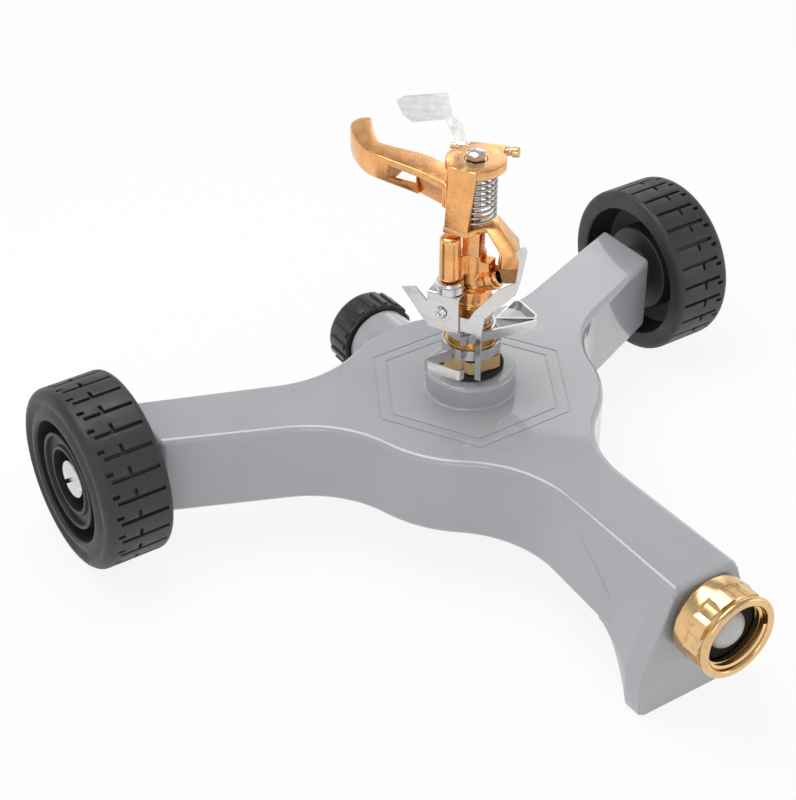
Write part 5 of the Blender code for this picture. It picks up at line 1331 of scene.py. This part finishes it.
# Impact arm: disc, cage wall, lower plate with boss and lug, weighted beam, spoon

ARM_TOP_Z = 0.1563
DISC_RADIUS = 0.0115
DISC_Z = ARM_TOP_Z - 0.0035
CAGE_WALL = 0.0020
CAGE_FACE_V = -0.0110
CAGE_TOP_HALF = 0.0056
CAGE_FOOT = (-0.0076, 0.0020)
CAGE_PLATE = 0.0025
PLATE_Z = COLUMN_TOP_Z + 4 * SEAT
PLATE_TOP_Z = PLATE_Z + CAGE_PLATE
ARM_BOSS_RADIUS = 0.0042
BOSS_FOOT_Z = POST_TOP_Z + SEAT
LUG_LENGTH = 0.0070
LUG_V = (-0.0075, -0.0040)
LUG_HEIGHT = 0.0095
BUSH_RADIUS = 0.0042
BEAM_TOP_Z = 0.1483
BEAM_HEIGHT = 0.0102
WINDOW_U = (-0.0350, -0.0220)
WINDOW_TOP = 0.0025
RAIL_HEIGHT = 0.0028
RAIL_BACK_V = -0.0022
BEAM_DRAFT = ((-0.0215, -0.0059), (-0.0088, -0.0103))
BEAM_DRAFT_DEPTH = (0.0022, 0.0004)
SPOON_REACH = 0.0173
SPOON_WIDTH = 0.0073
SPOON_LIP = 0.0107
SPOON_DEPTH = 0.0030
SPOON_ROOT = (0.0035, 0.0067)
SPOON_SLOPE = 0.0103
LEDGE = 0.0055
SPOON_FOOT = 0.0085
SPOON_BACK_V = 0.0050
BEAM_NEAR_SIDE = ((-0.0068, -0.0110), (-0.0120, -0.0090), (-0.0222, -0.0057), (-0.0363, -0.0031),
                  (-0.0432, -0.0016), (-0.0501, 0.0020), (-0.0571, 0.0085), (-0.0612, 0.0139),
                  (-0.0626, 0.0175), (-0.0616, 0.0222), (-0.0577, 0.0249))
BEAM_FAR_SIDE = ((-0.0563, 0.0223), (-0.0519, 0.0160), (-0.0466, 0.0095), (-0.0421, 0.0077),
                 (-0.0275, 0.0077), (-0.0196, 0.0064), (-0.0120, 0.0025), (-0.0098, -0.0025),
                 (-0.0062, -0.0092))
VIEW_TURN = math.radians(28.1)
FLAP_PIN_TURN = math.radians(15.2)
FLAP_PIN_Z = ARM_TOP_Z - 0.0018
FLAP_PIN_RADIUS = 0.0010
FLAP_PIN_BACK = 0.0112
FLAP_PIN_LEFT = 0.0098
FLAP_PIN_RIGHT = 0.0125
FLAP_SHEET = 0.0008
FLAP_STRIP_WIDTH = 0.0041
KNOB_SUNK = 0.0028
PLAY = 0.0004


def turned_view(right, back, turn=VIEW_TURN):
    """From directions turned on the head's axis, right and back, to the head's own."""
    cosine = math.cos(turn)
    sine = math.sin(turn)
    return right * cosine - back * sine, right * sine + back * cosine


def upright(depth):
    return Matrix.Translation((0, depth, 0)) @ Matrix.Rotation(math.pi / 2, 4, "X")


def flowing(points):
    """A smooth line through the points, its ends kept."""
    steps = 5
    line = [Vector(point) for point in points]
    line = [line[0] * 2 - line[1]] + line + [line[-1] * 2 - line[-2]]
    curve = []
    for before, start, end, after in zip(line, line[1:], line[2:], line[3:]):
        for n in range(steps):
            t = n / steps
            curve.append(tuple(start + (end - before) * (t / 2)
                               + (before * 2 - start * 5 + end * 4 - after) * (t * t / 2)
                               + (start * 3 - before - end * 3 + after) * (t ** 3 / 2)))
    return curve + [tuple(line[-2])]


def spoon_section(right, near, back, z, foot=0.0):
    left = right - SPOON_WIDTH
    corners = [(left + foot, -near), (right, -near), (right, back), (left, back)]
    return [(*turned_view(*corner), z) for corner in corners]


def spoon_form():
    root_right = SPOON_ROOT[0] + SPOON_WIDTH * 0.8
    slope_foot_z = PLATE_TOP_Z - SPOON_SLOPE
    ledge_foot_z = slope_foot_z - LEDGE
    spoon = loft("spoon", [
        spoon_section(root_right, SPOON_ROOT[1], SPOON_DEPTH, PLATE_TOP_Z - 0.0002, SPOON_WIDTH * 0.2),
        spoon_section(SPOON_REACH, SPOON_LIP, SPOON_DEPTH, slope_foot_z),
        spoon_section(SPOON_REACH, SPOON_LIP, SPOON_DEPTH, ledge_foot_z),
        spoon_section(SPOON_REACH - 0.0010, SPOON_LIP - 0.0032, SPOON_DEPTH - 0.0010,
                      ledge_foot_z - SPOON_FOOT)])
    round_edges(spoon, 0.0005, 3, 20)
    swept = BARREL_LENGTH + NOZZLE_OUT + 2 * PLAY
    clear_z = ledge_foot_z - SEAT
    hollow = upright_rod("spoon_hollow", clear_z - 0.02, clear_z, swept, 96)
    cut_out(hollow, block("hollow_side", (-0.02, SPOON_BACK_V, clear_z - 0.03), (0.04, 0.04, clear_z + 0.01)))
    return cut_out(spoon, hollow)


def wall_form():
    """The cage's front wall, narrower at its foot."""
    top = ARM_TOP_Z - SEAT / 6
    outline = [(CAGE_FOOT[0], PLATE_Z + 0.0004), (CAGE_FOOT[1], PLATE_Z + 0.0004),
               (CAGE_TOP_HALF, top), (-CAGE_TOP_HALF, top)]
    wall = put(slab("wall", outline, -CAGE_WALL / 2, CAGE_WALL / 2), upright(CAGE_FACE_V + CAGE_WALL / 2))
    return round_edges(wall, 0.0003, 3)


def plate_form():
    """The cage's lower plate, from the wall's foot to the spoon's root and the boss."""
    root = SPOON_ROOT[0]
    root_right = root + SPOON_WIDTH * 0.8
    outline = [(CAGE_FOOT[0] - 0.0002, CAGE_FACE_V - 0.0002), (CAGE_FOOT[1] + 0.0002, CAGE_FACE_V - 0.0002),
               turned_view(root, -SPOON_ROOT[1]), turned_view(root_right, -SPOON_ROOT[1]),
               turned_view(root_right, SPOON_DEPTH), turned_view(root, SPOON_DEPTH),
               (-ARM_BOSS_RADIUS, ARM_BOSS_RADIUS * 0.8), (-ARM_BOSS_RADIUS * 1.3, 0)]
    return round_edges(slab("lower_plate", outline, PLATE_Z, PLATE_TOP_Z), 0.0004, 3)


def beam_form():
    """The weighted beam, with its web drawn back beside the wall."""
    outline = flowing(BEAM_NEAR_SIDE) + flowing(BEAM_FAR_SIDE)
    beam = slab("beam", outline[::-1], BEAM_TOP_Z - BEAM_HEIGHT, BEAM_TOP_Z)
    round_edges(beam, 0.0008, 4, 50)
    (left, left_v), (right, right_v) = BEAM_DRAFT
    draft = []
    for depth, z in zip(BEAM_DRAFT_DEPTH, (BEAM_TOP_Z - BEAM_HEIGHT - 0.0005, BEAM_TOP_Z - WINDOW_TOP)):
        draft.append([(left, -0.03, z), (right, -0.03, z), (right, right_v + depth, z),
                      (left, left_v + depth, z)])
    return cut_out(beam, loft("beam_draft", draft))


def model_arm():
    soft = 0.0005
    rim = DISC_RADIUS
    arm = turned("bronze_arm", [(0, ARM_TOP_Z)] + arc((rim - soft, ARM_TOP_Z - soft), soft, math.pi / 2, 0, 4)
                 + [(rim, DISC_Z + 0.0003), (rim - 0.0003, DISC_Z), (0, DISC_Z)], 96)
    boss_left = -FLAP_PIN_LEFT + FLAP_STRIP_WIDTH + SEAT + PLAY
    boss_right = FLAP_PIN_RIGHT - KNOB_SUNK - PLAY
    pin_turn = Matrix.Rotation(FLAP_PIN_TURN, 4, "Z")
    pin_boss = block("pin_boss", (boss_left, rim * 0.5, DISC_Z + SEAT),
                     (boss_right, FLAP_PIN_BACK + 0.0022, ARM_TOP_Z - SEAT), pin_turn)
    round_edges(pin_boss, 0.0006, 3)
    barrel_reach = FLAP_PIN_RADIUS + FLAP_SHEET + 2 * SEAT + PLAY
    cut_out(arm,
            block("barrel_gap", (-2 * FLAP_PIN_LEFT, FLAP_PIN_BACK - barrel_reach, DISC_Z - PAST),
                  (boss_left, 2 * FLAP_PIN_BACK, ARM_TOP_Z + PAST), pin_turn),
            block("flat_front", (-rim, -2 * rim, DISC_Z - PAST),
                  (rim, CAGE_FACE_V + SEAT / 6, ARM_TOP_Z + PAST)))
    boss = upright_rod("arm_boss", BOSS_FOOT_Z, PLATE_Z + PAST, ARM_BOSS_RADIUS, 48)
    round_edges(boss, 0.0003, 2)
    lug_start = COLUMN.x + math.sqrt((COLUMN_RADIUS + SEAT) ** 2 - (LUG_V[0] - COLUMN.y) ** 2)
    lug = block("lug", (lug_start, LUG_V[0], PLATE_Z - LUG_HEIGHT),
                (lug_start + LUG_LENGTH, LUG_V[1], PLATE_Z + PAST))
    round_edges(lug, 0.0004, 3)
    weld_on(arm, wall_form(), plate_form(), boss, lug, beam_form(), spoon_form(), pin_boss)
    window_top = BEAM_TOP_Z - WINDOW_TOP
    rail_top = BEAM_TOP_Z - BEAM_HEIGHT + RAIL_HEIGHT
    left, right = WINDOW_U
    over_rail = block("window", (left, -0.02, rail_top), (right, 0.02, window_top))
    behind_rail = block("window_back", (left, RAIL_BACK_V, rail_top - 0.01),
                        (right, 0.021, window_top - SEAT / 3))
    left_end = (*turned_view(-FLAP_PIN_LEFT - 0.002, FLAP_PIN_BACK, FLAP_PIN_TURN), FLAP_PIN_Z)
    right_end = (*turned_view(FLAP_PIN_RIGHT + 0.002, FLAP_PIN_BACK, FLAP_PIN_TURN), FLAP_PIN_Z)
    cut_out(arm, over_rail, behind_rail,
            upright_rod("pin_bore", BOSS_FOOT_Z - PAST, PLATE_TOP_Z + PAST, PIN_RADIUS + SEAT, 40),
            upright_rod("bush_bore", DISC_Z - PAST, ARM_TOP_Z + PAST, BUSH_RADIUS + SEAT, 64),
            rod("pin_way", left_end, right_end, FLAP_PIN_RADIUS + SEAT, 32))
    tidy_mesh(arm)
    smooth(arm, 34)
    return put(arm, HEAD)


class SPRINKLER_OT_castings(bpy.types.Operator):
    """Models the head's bronze body with its nozzle and the impact arm"""
    bl_idname = "sprinkler.head_castings"
    bl_label = "Head castings"

    def execute(self, context):
        stand_for(model_head_body(), finish("bronze"), "head", "bronze", "head_body")
        stand_for(model_nozzle(), finish("brass"), "head", "brass", "nozzle")
        stand_for(model_arm(), finish("bronze"), "arm", "bronze", "impact_arm")
        return {"FINISHED"}


# Pin, springs, flap and trip mechanism

PIN_HEAD_FLATS = 0.0070
PIN_HEAD = 0.0032
PIN_DOME = 0.0075
ARM_SPRING_WIRE = 0.0011
ARM_SPRING_RADIUS = 0.0079
ARM_SPRING_TURNS = 9
STAND_SPRING_WIRE = 0.0007
STAND_SPRING_TURNS = 2
FLAP_TILT = math.radians(20)
FLAP_STRIP_LENGTH = 0.0095
FLAP_LEAN = 0.0048
FLAP_DROOP = 0.0024
FLAP_PADDLE_LENGTH = 0.0208
FLAP_PADDLE_HEIGHT = 0.0099
FLAP_NOSE = ((0.0028, 0.0), (0.0016, 0.0095), (-0.0012, 0.0075), (0.0016, 0.0024), (0.0056, 0.0))
KNOB_RADIUS = 0.0020
KNOB_LENGTH = 0.0048
BRACKET_FACE_V = -0.0135
BRACKET_LEFT = -0.0128
BRACKET_RIGHT = 0.0006
BRACKET_DROP = 0.0160
BRACKET_NUT_RADIUS = 0.0055
RIVET = Vector((-0.0067, HUB_TOP_Z - 0.0070))
RIVET_RADIUS = 0.0012
RIVET_HEAD_RADIUS = 0.0024
RIVET_HEAD = 0.0009
TOGGLE_WIRE = 0.0005
TOGGLE_TURNS = 2
LEVER_V = BRACKET_FACE_V + SHEET + SEAT
LEVER_FINGER = ((0.0143, -0.0070), (0.0143, -0.0275), (0.0167, -0.0275), (0.0167, -0.0065))
LEVER_BLADE = ((0.0179, 0.0015), (0.0299, 0.0154), (0.0320, 0.0220), (0.0343, 0.0359), (0.0336, 0.0375),
               (0.0325, 0.0375), (0.0297, 0.0346), (0.0313, 0.0307), (0.0302, 0.0214), (0.0230, 0.0159),
               (0.0138, 0.0042), (0.0112, -0.0005))
LEVER_EYE = ((0.0032, -0.0007), (0.0024, 0.0028), (-0.0024, 0.0028), (-0.0033, -0.0005))
LEVER_WING = ((-0.0088, 0.0045), (-0.0119, 0.0076), (-0.0178, 0.0058), (-0.0076, -0.0070))


def spring(name, radius, wire_radius, low, high, turns, start=0.0):
    """A round wire section that climbs round the axis."""
    section = [(radius + x, y) for x, y in arc((0, 0), wire_radius, 0, 2 * math.pi, 14)[:-1]]
    place = HEAD @ Matrix.Translation((0, 0, low)) @ Matrix.Rotation(start, 4, "Z")
    return smooth(helix(name, section, (high - low) / turns, turns, 40, place), 60)


def wire(name, points, radius, place):
    """A bent round wire: a bevelled path made a mesh."""
    path = bpy.data.curves.new(name, "CURVE")
    path.dimensions = "3D"
    path.bevel_depth = radius
    path.bevel_resolution = 3
    path.use_fill_caps = True
    line = path.splines.new("POLY")
    line.points.add(len(points) - 1)
    for point, at in zip(line.points, points):
        point.co = (*at, 1)
    obj = bpy.data.objects.new(name, path)
    bpy.context.collection.objects.link(obj)
    only(obj)
    bpy.ops.object.convert(target="MESH")
    return put(smooth(tidy_mesh(name_it(bpy.context.object, name)), 50), place)


def sheet(name, outline, thickness, place):
    """Blanked sheet: a flat outline with slightly rolled edges."""
    return put(round_edges(slab(name, outline, -thickness / 2, thickness / 2), 0.00012, 2, 30), place)


def model_pin():
    """Fulcrum pin with a domed hexagon head."""
    low = ARM_TOP_Z + SEAT
    high = low + PIN_HEAD
    corner = PIN_HEAD_FLATS / math.sqrt(3)
    head = rod("hexagon_pin", (0, 0, low), (0, 0, high), corner, 6, math.radians(20))
    crown = arc((0, high - PIN_DOME), PIN_DOME, math.pi / 2, math.acos(corner / PIN_DOME), 8)
    dome = turned("dome", crown + [(corner, low + 0.0004), (corner - 0.0004, low), (0, low)], 72)
    shape_with(head, dome, "INTERSECT")
    foot = POST_TOP_Z - PIN_SUNK
    shank = turned("shank", [(0, low + 0.001), (PIN_RADIUS, low + 0.001), (PIN_RADIUS, foot + 0.0004),
                             (PIN_RADIUS - 0.0004, foot), (0, foot)], 40)
    weld_on(head, shank)
    return put(even_shading(head, 30), HEAD)


def model_flap(place):
    leaning = place @ Matrix.Rotation(-FLAP_TILT, 4, "X")
    left = -FLAP_PIN_LEFT
    right = left + FLAP_STRIP_WIDTH
    top = FLAP_STRIP_LENGTH + FLAP_PADDLE_HEIGHT
    end = left - FLAP_LEAN - FLAP_PADDLE_LENGTH + FLAP_NOSE[0][0]
    foot = FLAP_PIN_RADIUS + SEAT + FLAP_SHEET / 4
    nose = [(end + x, FLAP_STRIP_LENGTH + z - FLAP_DROOP) for x, z in FLAP_NOSE]
    outline = [(left, foot), (right, foot), (right - FLAP_LEAN * 0.6, FLAP_STRIP_LENGTH * 0.92),
               (right - FLAP_LEAN * 1.3, FLAP_STRIP_LENGTH * 1.13), (left - FLAP_LEAN, top)]
    outline += nose[1:] + [(left - FLAP_LEAN, FLAP_STRIP_LENGTH)]
    flap = sheet("steel_flap", outline, FLAP_SHEET, upright(0))
    bore = FLAP_PIN_RADIUS + SEAT
    weld_on(flap, rod("roll", (left + SEAT / 2, 0, 0), (right - SEAT / 2, 0, 0), bore + FLAP_SHEET, 40))
    cut_out(flap, rod("roll_bore", (left - PAST, 0, 0), (right + PAST, 0, 0), bore, 32))
    return put(even_shading(flap, 35), leaning)


def model_knob(place):
    """Turned knob with a waist and a dimple in its end."""
    start = FLAP_PIN_RIGHT - KNOB_SUNK
    end = start + KNOB_LENGTH
    soft = 0.0005
    outer = KNOB_RADIUS
    bore = FLAP_PIN_RADIUS + SEAT
    crown = arc((outer - soft, end - soft), soft, math.pi / 2, 0, 4)
    waist = [(outer, start + 0.0022), (outer - 0.0004, start + 0.0018), (outer - 0.0004, start + 0.0010),
             (outer, start + 0.0006), (outer - 0.0002, start)]
    inside = [(bore, start), (bore, FLAP_PIN_RIGHT + SEAT), (0, FLAP_PIN_RIGHT + SEAT)]
    profile = [(0, end - 0.0003), (0.0007, end)] + crown + waist + inside
    return put(smooth(turned("brass_knob", profile, 48, None, (1, 0, 0)), 30), place)


def model_bracket():
    """Folded bracket with a rounded bend, a screw hole and a rivet hole."""
    face = BRACKET_FACE_V
    inner = -POST_RADIUS - 2 * SEAT
    foot = BRACKET_Z + SHEET - BRACKET_DROP
    bend = SHEET + 0.0004
    outside = arc((face + bend, BRACKET_Z + SHEET - bend), bend, math.pi / 2, math.pi, 6)
    inside = arc((face + bend, BRACKET_Z + SHEET - bend), 0.0004, math.pi, math.pi / 2, 4)
    fold = [(face, foot), (face + SHEET, foot)] + inside
    fold += [(inner, BRACKET_Z), (inner, BRACKET_Z + SHEET)] + outside
    middle = (BRACKET_LEFT + BRACKET_RIGHT) / 2
    half = (BRACKET_RIGHT - BRACKET_LEFT) / 2
    bracket = slab("folded_bracket", fold, -half, half)
    round_edges(bracket, 0.00012, 2, 60)
    put(bracket, Matrix(((0, 0, 1, middle), (1, 0, 0, 0), (0, 1, 0, 0), (0, 0, 0, 1))))
    cut_out(bracket,
            rod("screw_gap", (*COLUMN, BRACKET_Z - 2 * PAST), (*COLUMN, BRACKET_Z + 2 * PAST),
                SCREW_RADIUS + SEAT, 32),
            rod("rivet_gap", (RIVET.x, face - PAST, RIVET.y), (RIVET.x, face + 2 * PAST, RIVET.y),
                RIVET_RADIUS + SEAT, 32))
    return put(even_shading(bracket, 35), HEAD)


def model_ring_nut():
    """Round nut with a grip groove, chamfered at both ends."""
    low, high = BRACKET_NUT_Z, BRACKET_NUT_Z + BRACKET_NUT
    outer = BRACKET_NUT_RADIUS
    soft = 0.0005
    profile = [(outer - soft, low), (outer, low + soft), (outer, high - 0.0016),
               (outer - 0.0003, high - 0.0013), (outer - 0.0003, high - 0.0010), (outer, high - 0.0008),
               (outer - soft, high),
               (SCREW_RADIUS + SEAT, high), (SCREW_RADIUS + SEAT, low)]
    return put(smooth(turned("ring_nut", profile, 64, Matrix.Translation((*COLUMN, 0))), 30), HEAD)


def model_lever():
    outline = LEVER_FINGER + LEVER_BLADE + LEVER_EYE + LEVER_WING
    lever = sheet("steel_lever", outline, SHEET, upright(LEVER_V + SHEET / 2))
    cut_out(lever, rod("eye", (0, LEVER_V - PAST, 0), (0, LEVER_V + 2 * PAST, 0), RIVET_RADIUS + SEAT, 32))
    return put(even_shading(lever, 35), HEAD @ Matrix.Translation((RIVET.x, 0, RIVET.y)))


def model_rivet(tail):
    """Eyelet rivet: a rolled head with a sunk middle."""
    foot = -BRACKET_FACE_V + SEAT
    top = foot + RIVET_HEAD
    head = RIVET_HEAD_RADIUS
    line = [(0, foot + 0.0001), (0.0008, foot + 0.0001), (0.0010, top - 0.0002), (0.0013, top),
            (head - 0.0007, top), (head - 0.0002, foot + RIVET_HEAD * 0.6), (head, foot + RIVET_HEAD * 0.3),
            (head, foot), (RIVET_RADIUS, foot), (RIVET_RADIUS, -tail), (RIVET_RADIUS * 1.5, -tail),
            (RIVET_RADIUS * 1.5, -tail - RIVET_HEAD * 0.7), (0, -tail - RIVET_HEAD * 0.7)]
    rivet = turned("eyelet_rivet", line, 48, Matrix.Translation((RIVET.x, 0, RIVET.y)), (0, -1, 0))
    return put(smooth(rivet, 30), HEAD)


def model_toggle(start, run):
    """Toggle spring: two turns round the rivet with a leg at each end."""
    radius = RIVET_RADIUS + SEAT + TOGGLE_WIRE / 2
    steps = 24
    turns = [Vector((RIVET.x + radius * math.cos(2 * math.pi * n / steps),
                     start + run * n / (TOGGLE_TURNS * steps),
                     RIVET.y + radius * math.sin(2 * math.pi * n / steps)))
             for n in range(TOGGLE_TURNS * steps + 1)]
    legs_down = [turns[0] - UP * leg for leg in (0.0028, 0.0012)]
    legs_up = [turns[-1] + UP * leg for leg in (0.0012, 0.0026)]
    return wire("toggle_wire", legs_down + turns + legs_up, TOGGLE_WIRE / 2, HEAD)


class SPRINKLER_OT_small_pieces(bpy.types.Operator):
    """Models the pin, the springs, the flap with its knob and the trip mechanism"""
    bl_idname = "sprinkler.small_pieces"
    bl_label = "Springs, flap and trip"

    def execute(self, context):
        stand_for(model_pin(), finish("steel"), "head", "stainless", "fulcrum_pin")
        half = ARM_SPRING_WIRE / 2
        coil = spring("arm_coil", ARM_SPRING_RADIUS, half, PLATE_TOP_Z + SEAT + half, DISC_Z - SEAT - half,
                      ARM_SPRING_TURNS, math.pi / 2)
        stand_for(coil, finish("wire"), "arm", "stainless", "arm_spring")
        half = STAND_SPRING_WIRE / 2
        coil = spring("stand_coil", SLEEVE_RADIUS + 2 * SEAT + 2 * half, half, NUT_TOP_Z + SEAT + half,
                      HUB_Z - SEAT - half, STAND_SPRING_TURNS)
        stand_for(coil, finish("wire"), "head", "stainless", "stand_spring")
        u, v = turned_view(0, FLAP_PIN_BACK, FLAP_PIN_TURN)
        place = HEAD @ Matrix.Translation((u, v, FLAP_PIN_Z)) @ Matrix.Rotation(FLAP_PIN_TURN, 4, "Z")
        stand_for(model_flap(place), finish("strip"), "flap", "stainless", "deflector_flap")
        stand_for(model_knob(place), finish("brass"), "arm", "brass", "flap_knob")
        stand_for(model_bracket(), finish("strip"), "head", "stainless", "trip_bracket")
        stand_for(model_ring_nut(), finish("steel"), "head", "stainless", "bracket_nut")
        stand_for(model_lever(), finish("strip"), "lever", "stainless", "trip_lever")
        start = LEVER_V + SHEET + SEAT + TOGGLE_WIRE / 2
        run = TOGGLE_TURNS * (TOGGLE_WIRE + 0.00045)
        rivet = model_rivet(start + run + TOGGLE_WIRE / 2 + SEAT)
        stand_for(rivet, finish("steel"), "head", "stainless", "trip_rivet")
        stand_for(model_toggle(start, run), finish("wire"), "head", "stainless", "trip_spring")
        return {"FINISHED"}


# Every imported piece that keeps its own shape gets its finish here

PACKED_FINISHES = {
    "rubber": ("cap_washer", "hose_washer"),
    "brass": ("arm_bush", "bearing_sleeve", "inlet_nipple"),
    "steel": ("axle_washer_left", "axle_washer_right", "bracket_screw", "flap_pin",
              "wheel_spacer_left", "wheel_spacer_right"),
    "strainer": ("wear_washer",),
}


class SPRINKLER_OT_packed_pieces(bpy.types.Operator):
    """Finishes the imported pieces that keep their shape"""
    bl_idname = "sprinkler.packed_pieces"
    bl_label = "Packed pieces"

    def execute(self, context):
        for name, nodes in PACKED_FINISHES.items():
            for node in nodes:
                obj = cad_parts[node]
                obj.data.materials.clear()
                obj.data.materials.append(finish(name))
        return {"FINISHED"}


# Stage

CAMERA_PLACE = (-0.38372, -0.48399, 0.50141)
CAMERA_AIM = (0.003668, 0.092592, 0.012052)
CAMERA_LENS = 88.42
SENSOR = 36

# Heights of the view direction between which the backdrop gives way to the ceiling
CEILING_FROM = (0.15, 0.60)
CEILING = 0.46
FLOOR_SIZE = 12
FLOOR_GLOW = 0.88

# Name, place, aim, width and height, and power in watts
SOFTBOXES = (
    ("top_softbox", (-0.10, 0.20, 0.70), (0, 0.02, 0.05), (0.5, 0.4), 2.6),
    ("left_softbox", (-0.75, -0.75, 0.60), (0, 0, 0.08), (0.5, 0.5), 1.3),
    ("right_softbox", (0.95, -0.55, 0.35), (0.05, 0, 0.05), (0.4, 0.6), 0.8),
    ("back_softbox", (0.98, 0.95, 0.72), (0, 0, 0.05), (0.5, 0.55), 0.9),
)


def add_camera():
    bpy.ops.object.camera_add(location=CAMERA_PLACE)
    camera = name_it(bpy.context.object, "camera")
    aim = Vector(CAMERA_AIM) - Vector(CAMERA_PLACE)
    camera.rotation_euler = aim.to_track_quat("-Z", "Y").to_euler()
    camera.data.lens = CAMERA_LENS
    camera.data.sensor_width = SENSOR
    camera.data.clip_start = 0.01
    bpy.context.scene.camera = camera


def add_softbox(name, place, aim, size, power):
    bpy.ops.object.light_add(type="AREA", location=place)
    lamp = name_it(bpy.context.object, name)
    lamp.rotation_euler = (Vector(aim) - Vector(place)).to_track_quat("-Z", "Y").to_euler()
    lamp.data.shape = "RECTANGLE"
    lamp.data.size, lamp.data.size_y = size
    lamp.data.energy = power


def strongest(tree, outputs):
    """The greatest of several values."""
    total = outputs[0]
    for output in outputs[1:]:
        either = add_node(tree, "ShaderNodeMath", operation="MAXIMUM")
        tree.links.new(total, either.inputs[0])
        tree.links.new(output, either.inputs[1])
        total = either.outputs["Value"]
    return total


def seen_directly(tree):
    """1 for camera, mirror and glass rays, so that metal shows the same background as the picture."""
    path = add_node(tree, "ShaderNodeLightPath")
    rays = ("Is Camera Ray", "Is Glossy Ray", "Is Transmission Ray")
    return strongest(tree, [path.outputs[ray] for ray in rays])


def scaled(tree, factor, low, high, span=(0, 1), shape="LINEAR"):
    """A factor brought to a range; low and high are numbers or other outputs."""
    spread = add_node(tree, "ShaderNodeMapRange", {"From Min": span[0], "From Max": span[1]},
                      interpolation_type=shape)
    for name, value in (("To Min", low), ("To Max", high)):
        if isinstance(value, bpy.types.NodeSocket):
            tree.links.new(value, spread.inputs[name])
        else:
            spread.inputs[name].default_value = value
    tree.links.new(factor, spread.inputs["Value"])
    return spread.outputs["Result"]


def light_world():
    """Soft light, strongest from the white backdrop round the horizon and dimmer from the ceiling.
    The picture's own background is plain white."""
    world = bpy.data.worlds.new("studio")
    bpy.context.scene.world = world
    world.use_nodes = True
    tree = world.node_tree
    path = add_node(tree, "ShaderNodeLightPath")
    direction = add_node(tree, "ShaderNodeSeparateXYZ")
    tree.links.new(add_node(tree, "ShaderNodeTexCoord").outputs["Generated"], direction.inputs["Vector"])
    room = scaled(tree, direction.outputs["Z"], 1.0, CEILING, CEILING_FROM, "SMOOTHSTEP")
    strength = scaled(tree, path.outputs["Is Camera Ray"], room, 1.0)
    tree.links.new(strength, tree.nodes["Background"].inputs["Strength"])
    tree.nodes["Background"].inputs["Color"].default_value = (1, 1, 1, 1)


def floor_finish(colour):
    """Pale floor that takes shadows, with part of its white its own where it is seen."""
    material = bpy.data.materials.new("pale_floor")
    material.use_nodes = True
    tree = material.node_tree
    shader = tree.nodes["Principled BSDF"]
    shader.inputs["Base Color"].default_value = (*colour, 1)
    shader.inputs["Roughness"].default_value = 0.9
    shader.inputs["Specular IOR Level"].default_value = 0.0
    glow = add_node(tree, "ShaderNodeEmission", {"Color": (1, 1, 1, 1), "Strength": 1.0})
    mix = add_node(tree, "ShaderNodeMixShader")
    share = add_node(tree, "ShaderNodeMapRange", {"To Min": 0.0, "To Max": FLOOR_GLOW})
    tree.links.new(seen_directly(tree), share.inputs["Value"])
    tree.links.new(share.outputs["Result"], mix.inputs["Fac"])
    tree.links.new(shader.outputs["BSDF"], mix.inputs[1])
    tree.links.new(glow.outputs["Emission"], mix.inputs[2])
    tree.links.new(mix.outputs["Shader"], tree.nodes["Material Output"].inputs["Surface"])
    return material


class SPRINKLER_OT_stage(bpy.types.Operator):
    """Sets the camera, the floor and the soft studio light"""
    bl_idname = "sprinkler.stage"
    bl_label = "Stage"

    def execute(self, context):
        bpy.context.scene.view_settings.view_transform = "Standard"
        add_camera()
        deselect()
        bpy.ops.mesh.primitive_plane_add(size=FLOOR_SIZE, location=(0, 0, 0))
        floor = name_it(bpy.context.object, "floor")
        floor.data.materials.append(floor_finish(context.scene.sprinkler_colours.floor))
        light_world()
        for softbox in SOFTBOXES:
            add_softbox(*softbox)
        return {"FINISHED"}


class SPRINKLER_PT_panel(bpy.types.Panel):
    """Buttons and sizes of the sprinkler"""
    bl_idname = "SPRINKLER_PT_panel"
    bl_label = "Impulse Sprinkler"
    bl_space_type = "VIEW_3D"
    bl_region_type = "UI"
    bl_category = "Sprinkler"

    def draw(self, context):
        layout = self.layout
        for operator in MODELLING_ORDER:
            layout.operator(operator.bl_idname)
        for group in (context.scene.sprinkler_sizes, context.scene.sprinkler_colours):
            box = layout.box()
            for name in group.__annotations__:
                box.prop(group, name)


MODELLING_ORDER = (
    SPRINKLER_OT_stage,
    SPRINKLER_OT_casting,
    SPRINKLER_OT_wheels,
    SPRINKLER_OT_waterway,
    SPRINKLER_OT_seat,
    SPRINKLER_OT_castings,
    SPRINKLER_OT_small_pieces,
    SPRINKLER_OT_packed_pieces,
)
CLASSES = (SprinklerSizes, SprinklerColours) + MODELLING_ORDER + (SPRINKLER_PT_panel,)


def register():
    for cls in CLASSES:
        bpy.utils.register_class(cls)
    bpy.types.Scene.sprinkler_sizes = bpy.props.PointerProperty(type=SprinklerSizes)
    bpy.types.Scene.sprinkler_colours = bpy.props.PointerProperty(type=SprinklerColours)


def unregister():
    del bpy.types.Scene.sprinkler_colours
    del bpy.types.Scene.sprinkler_sizes
    for cls in reversed(CLASSES):
        bpy.utils.unregister_class(cls)


def write_sizes():
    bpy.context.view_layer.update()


def main():
    register()
    for operator in MODELLING_ORDER:
        group, name = operator.bl_idname.split(".")
        getattr(getattr(bpy.ops, group), name)()
    write_sizes()


if __name__ == "__main__":
    main()
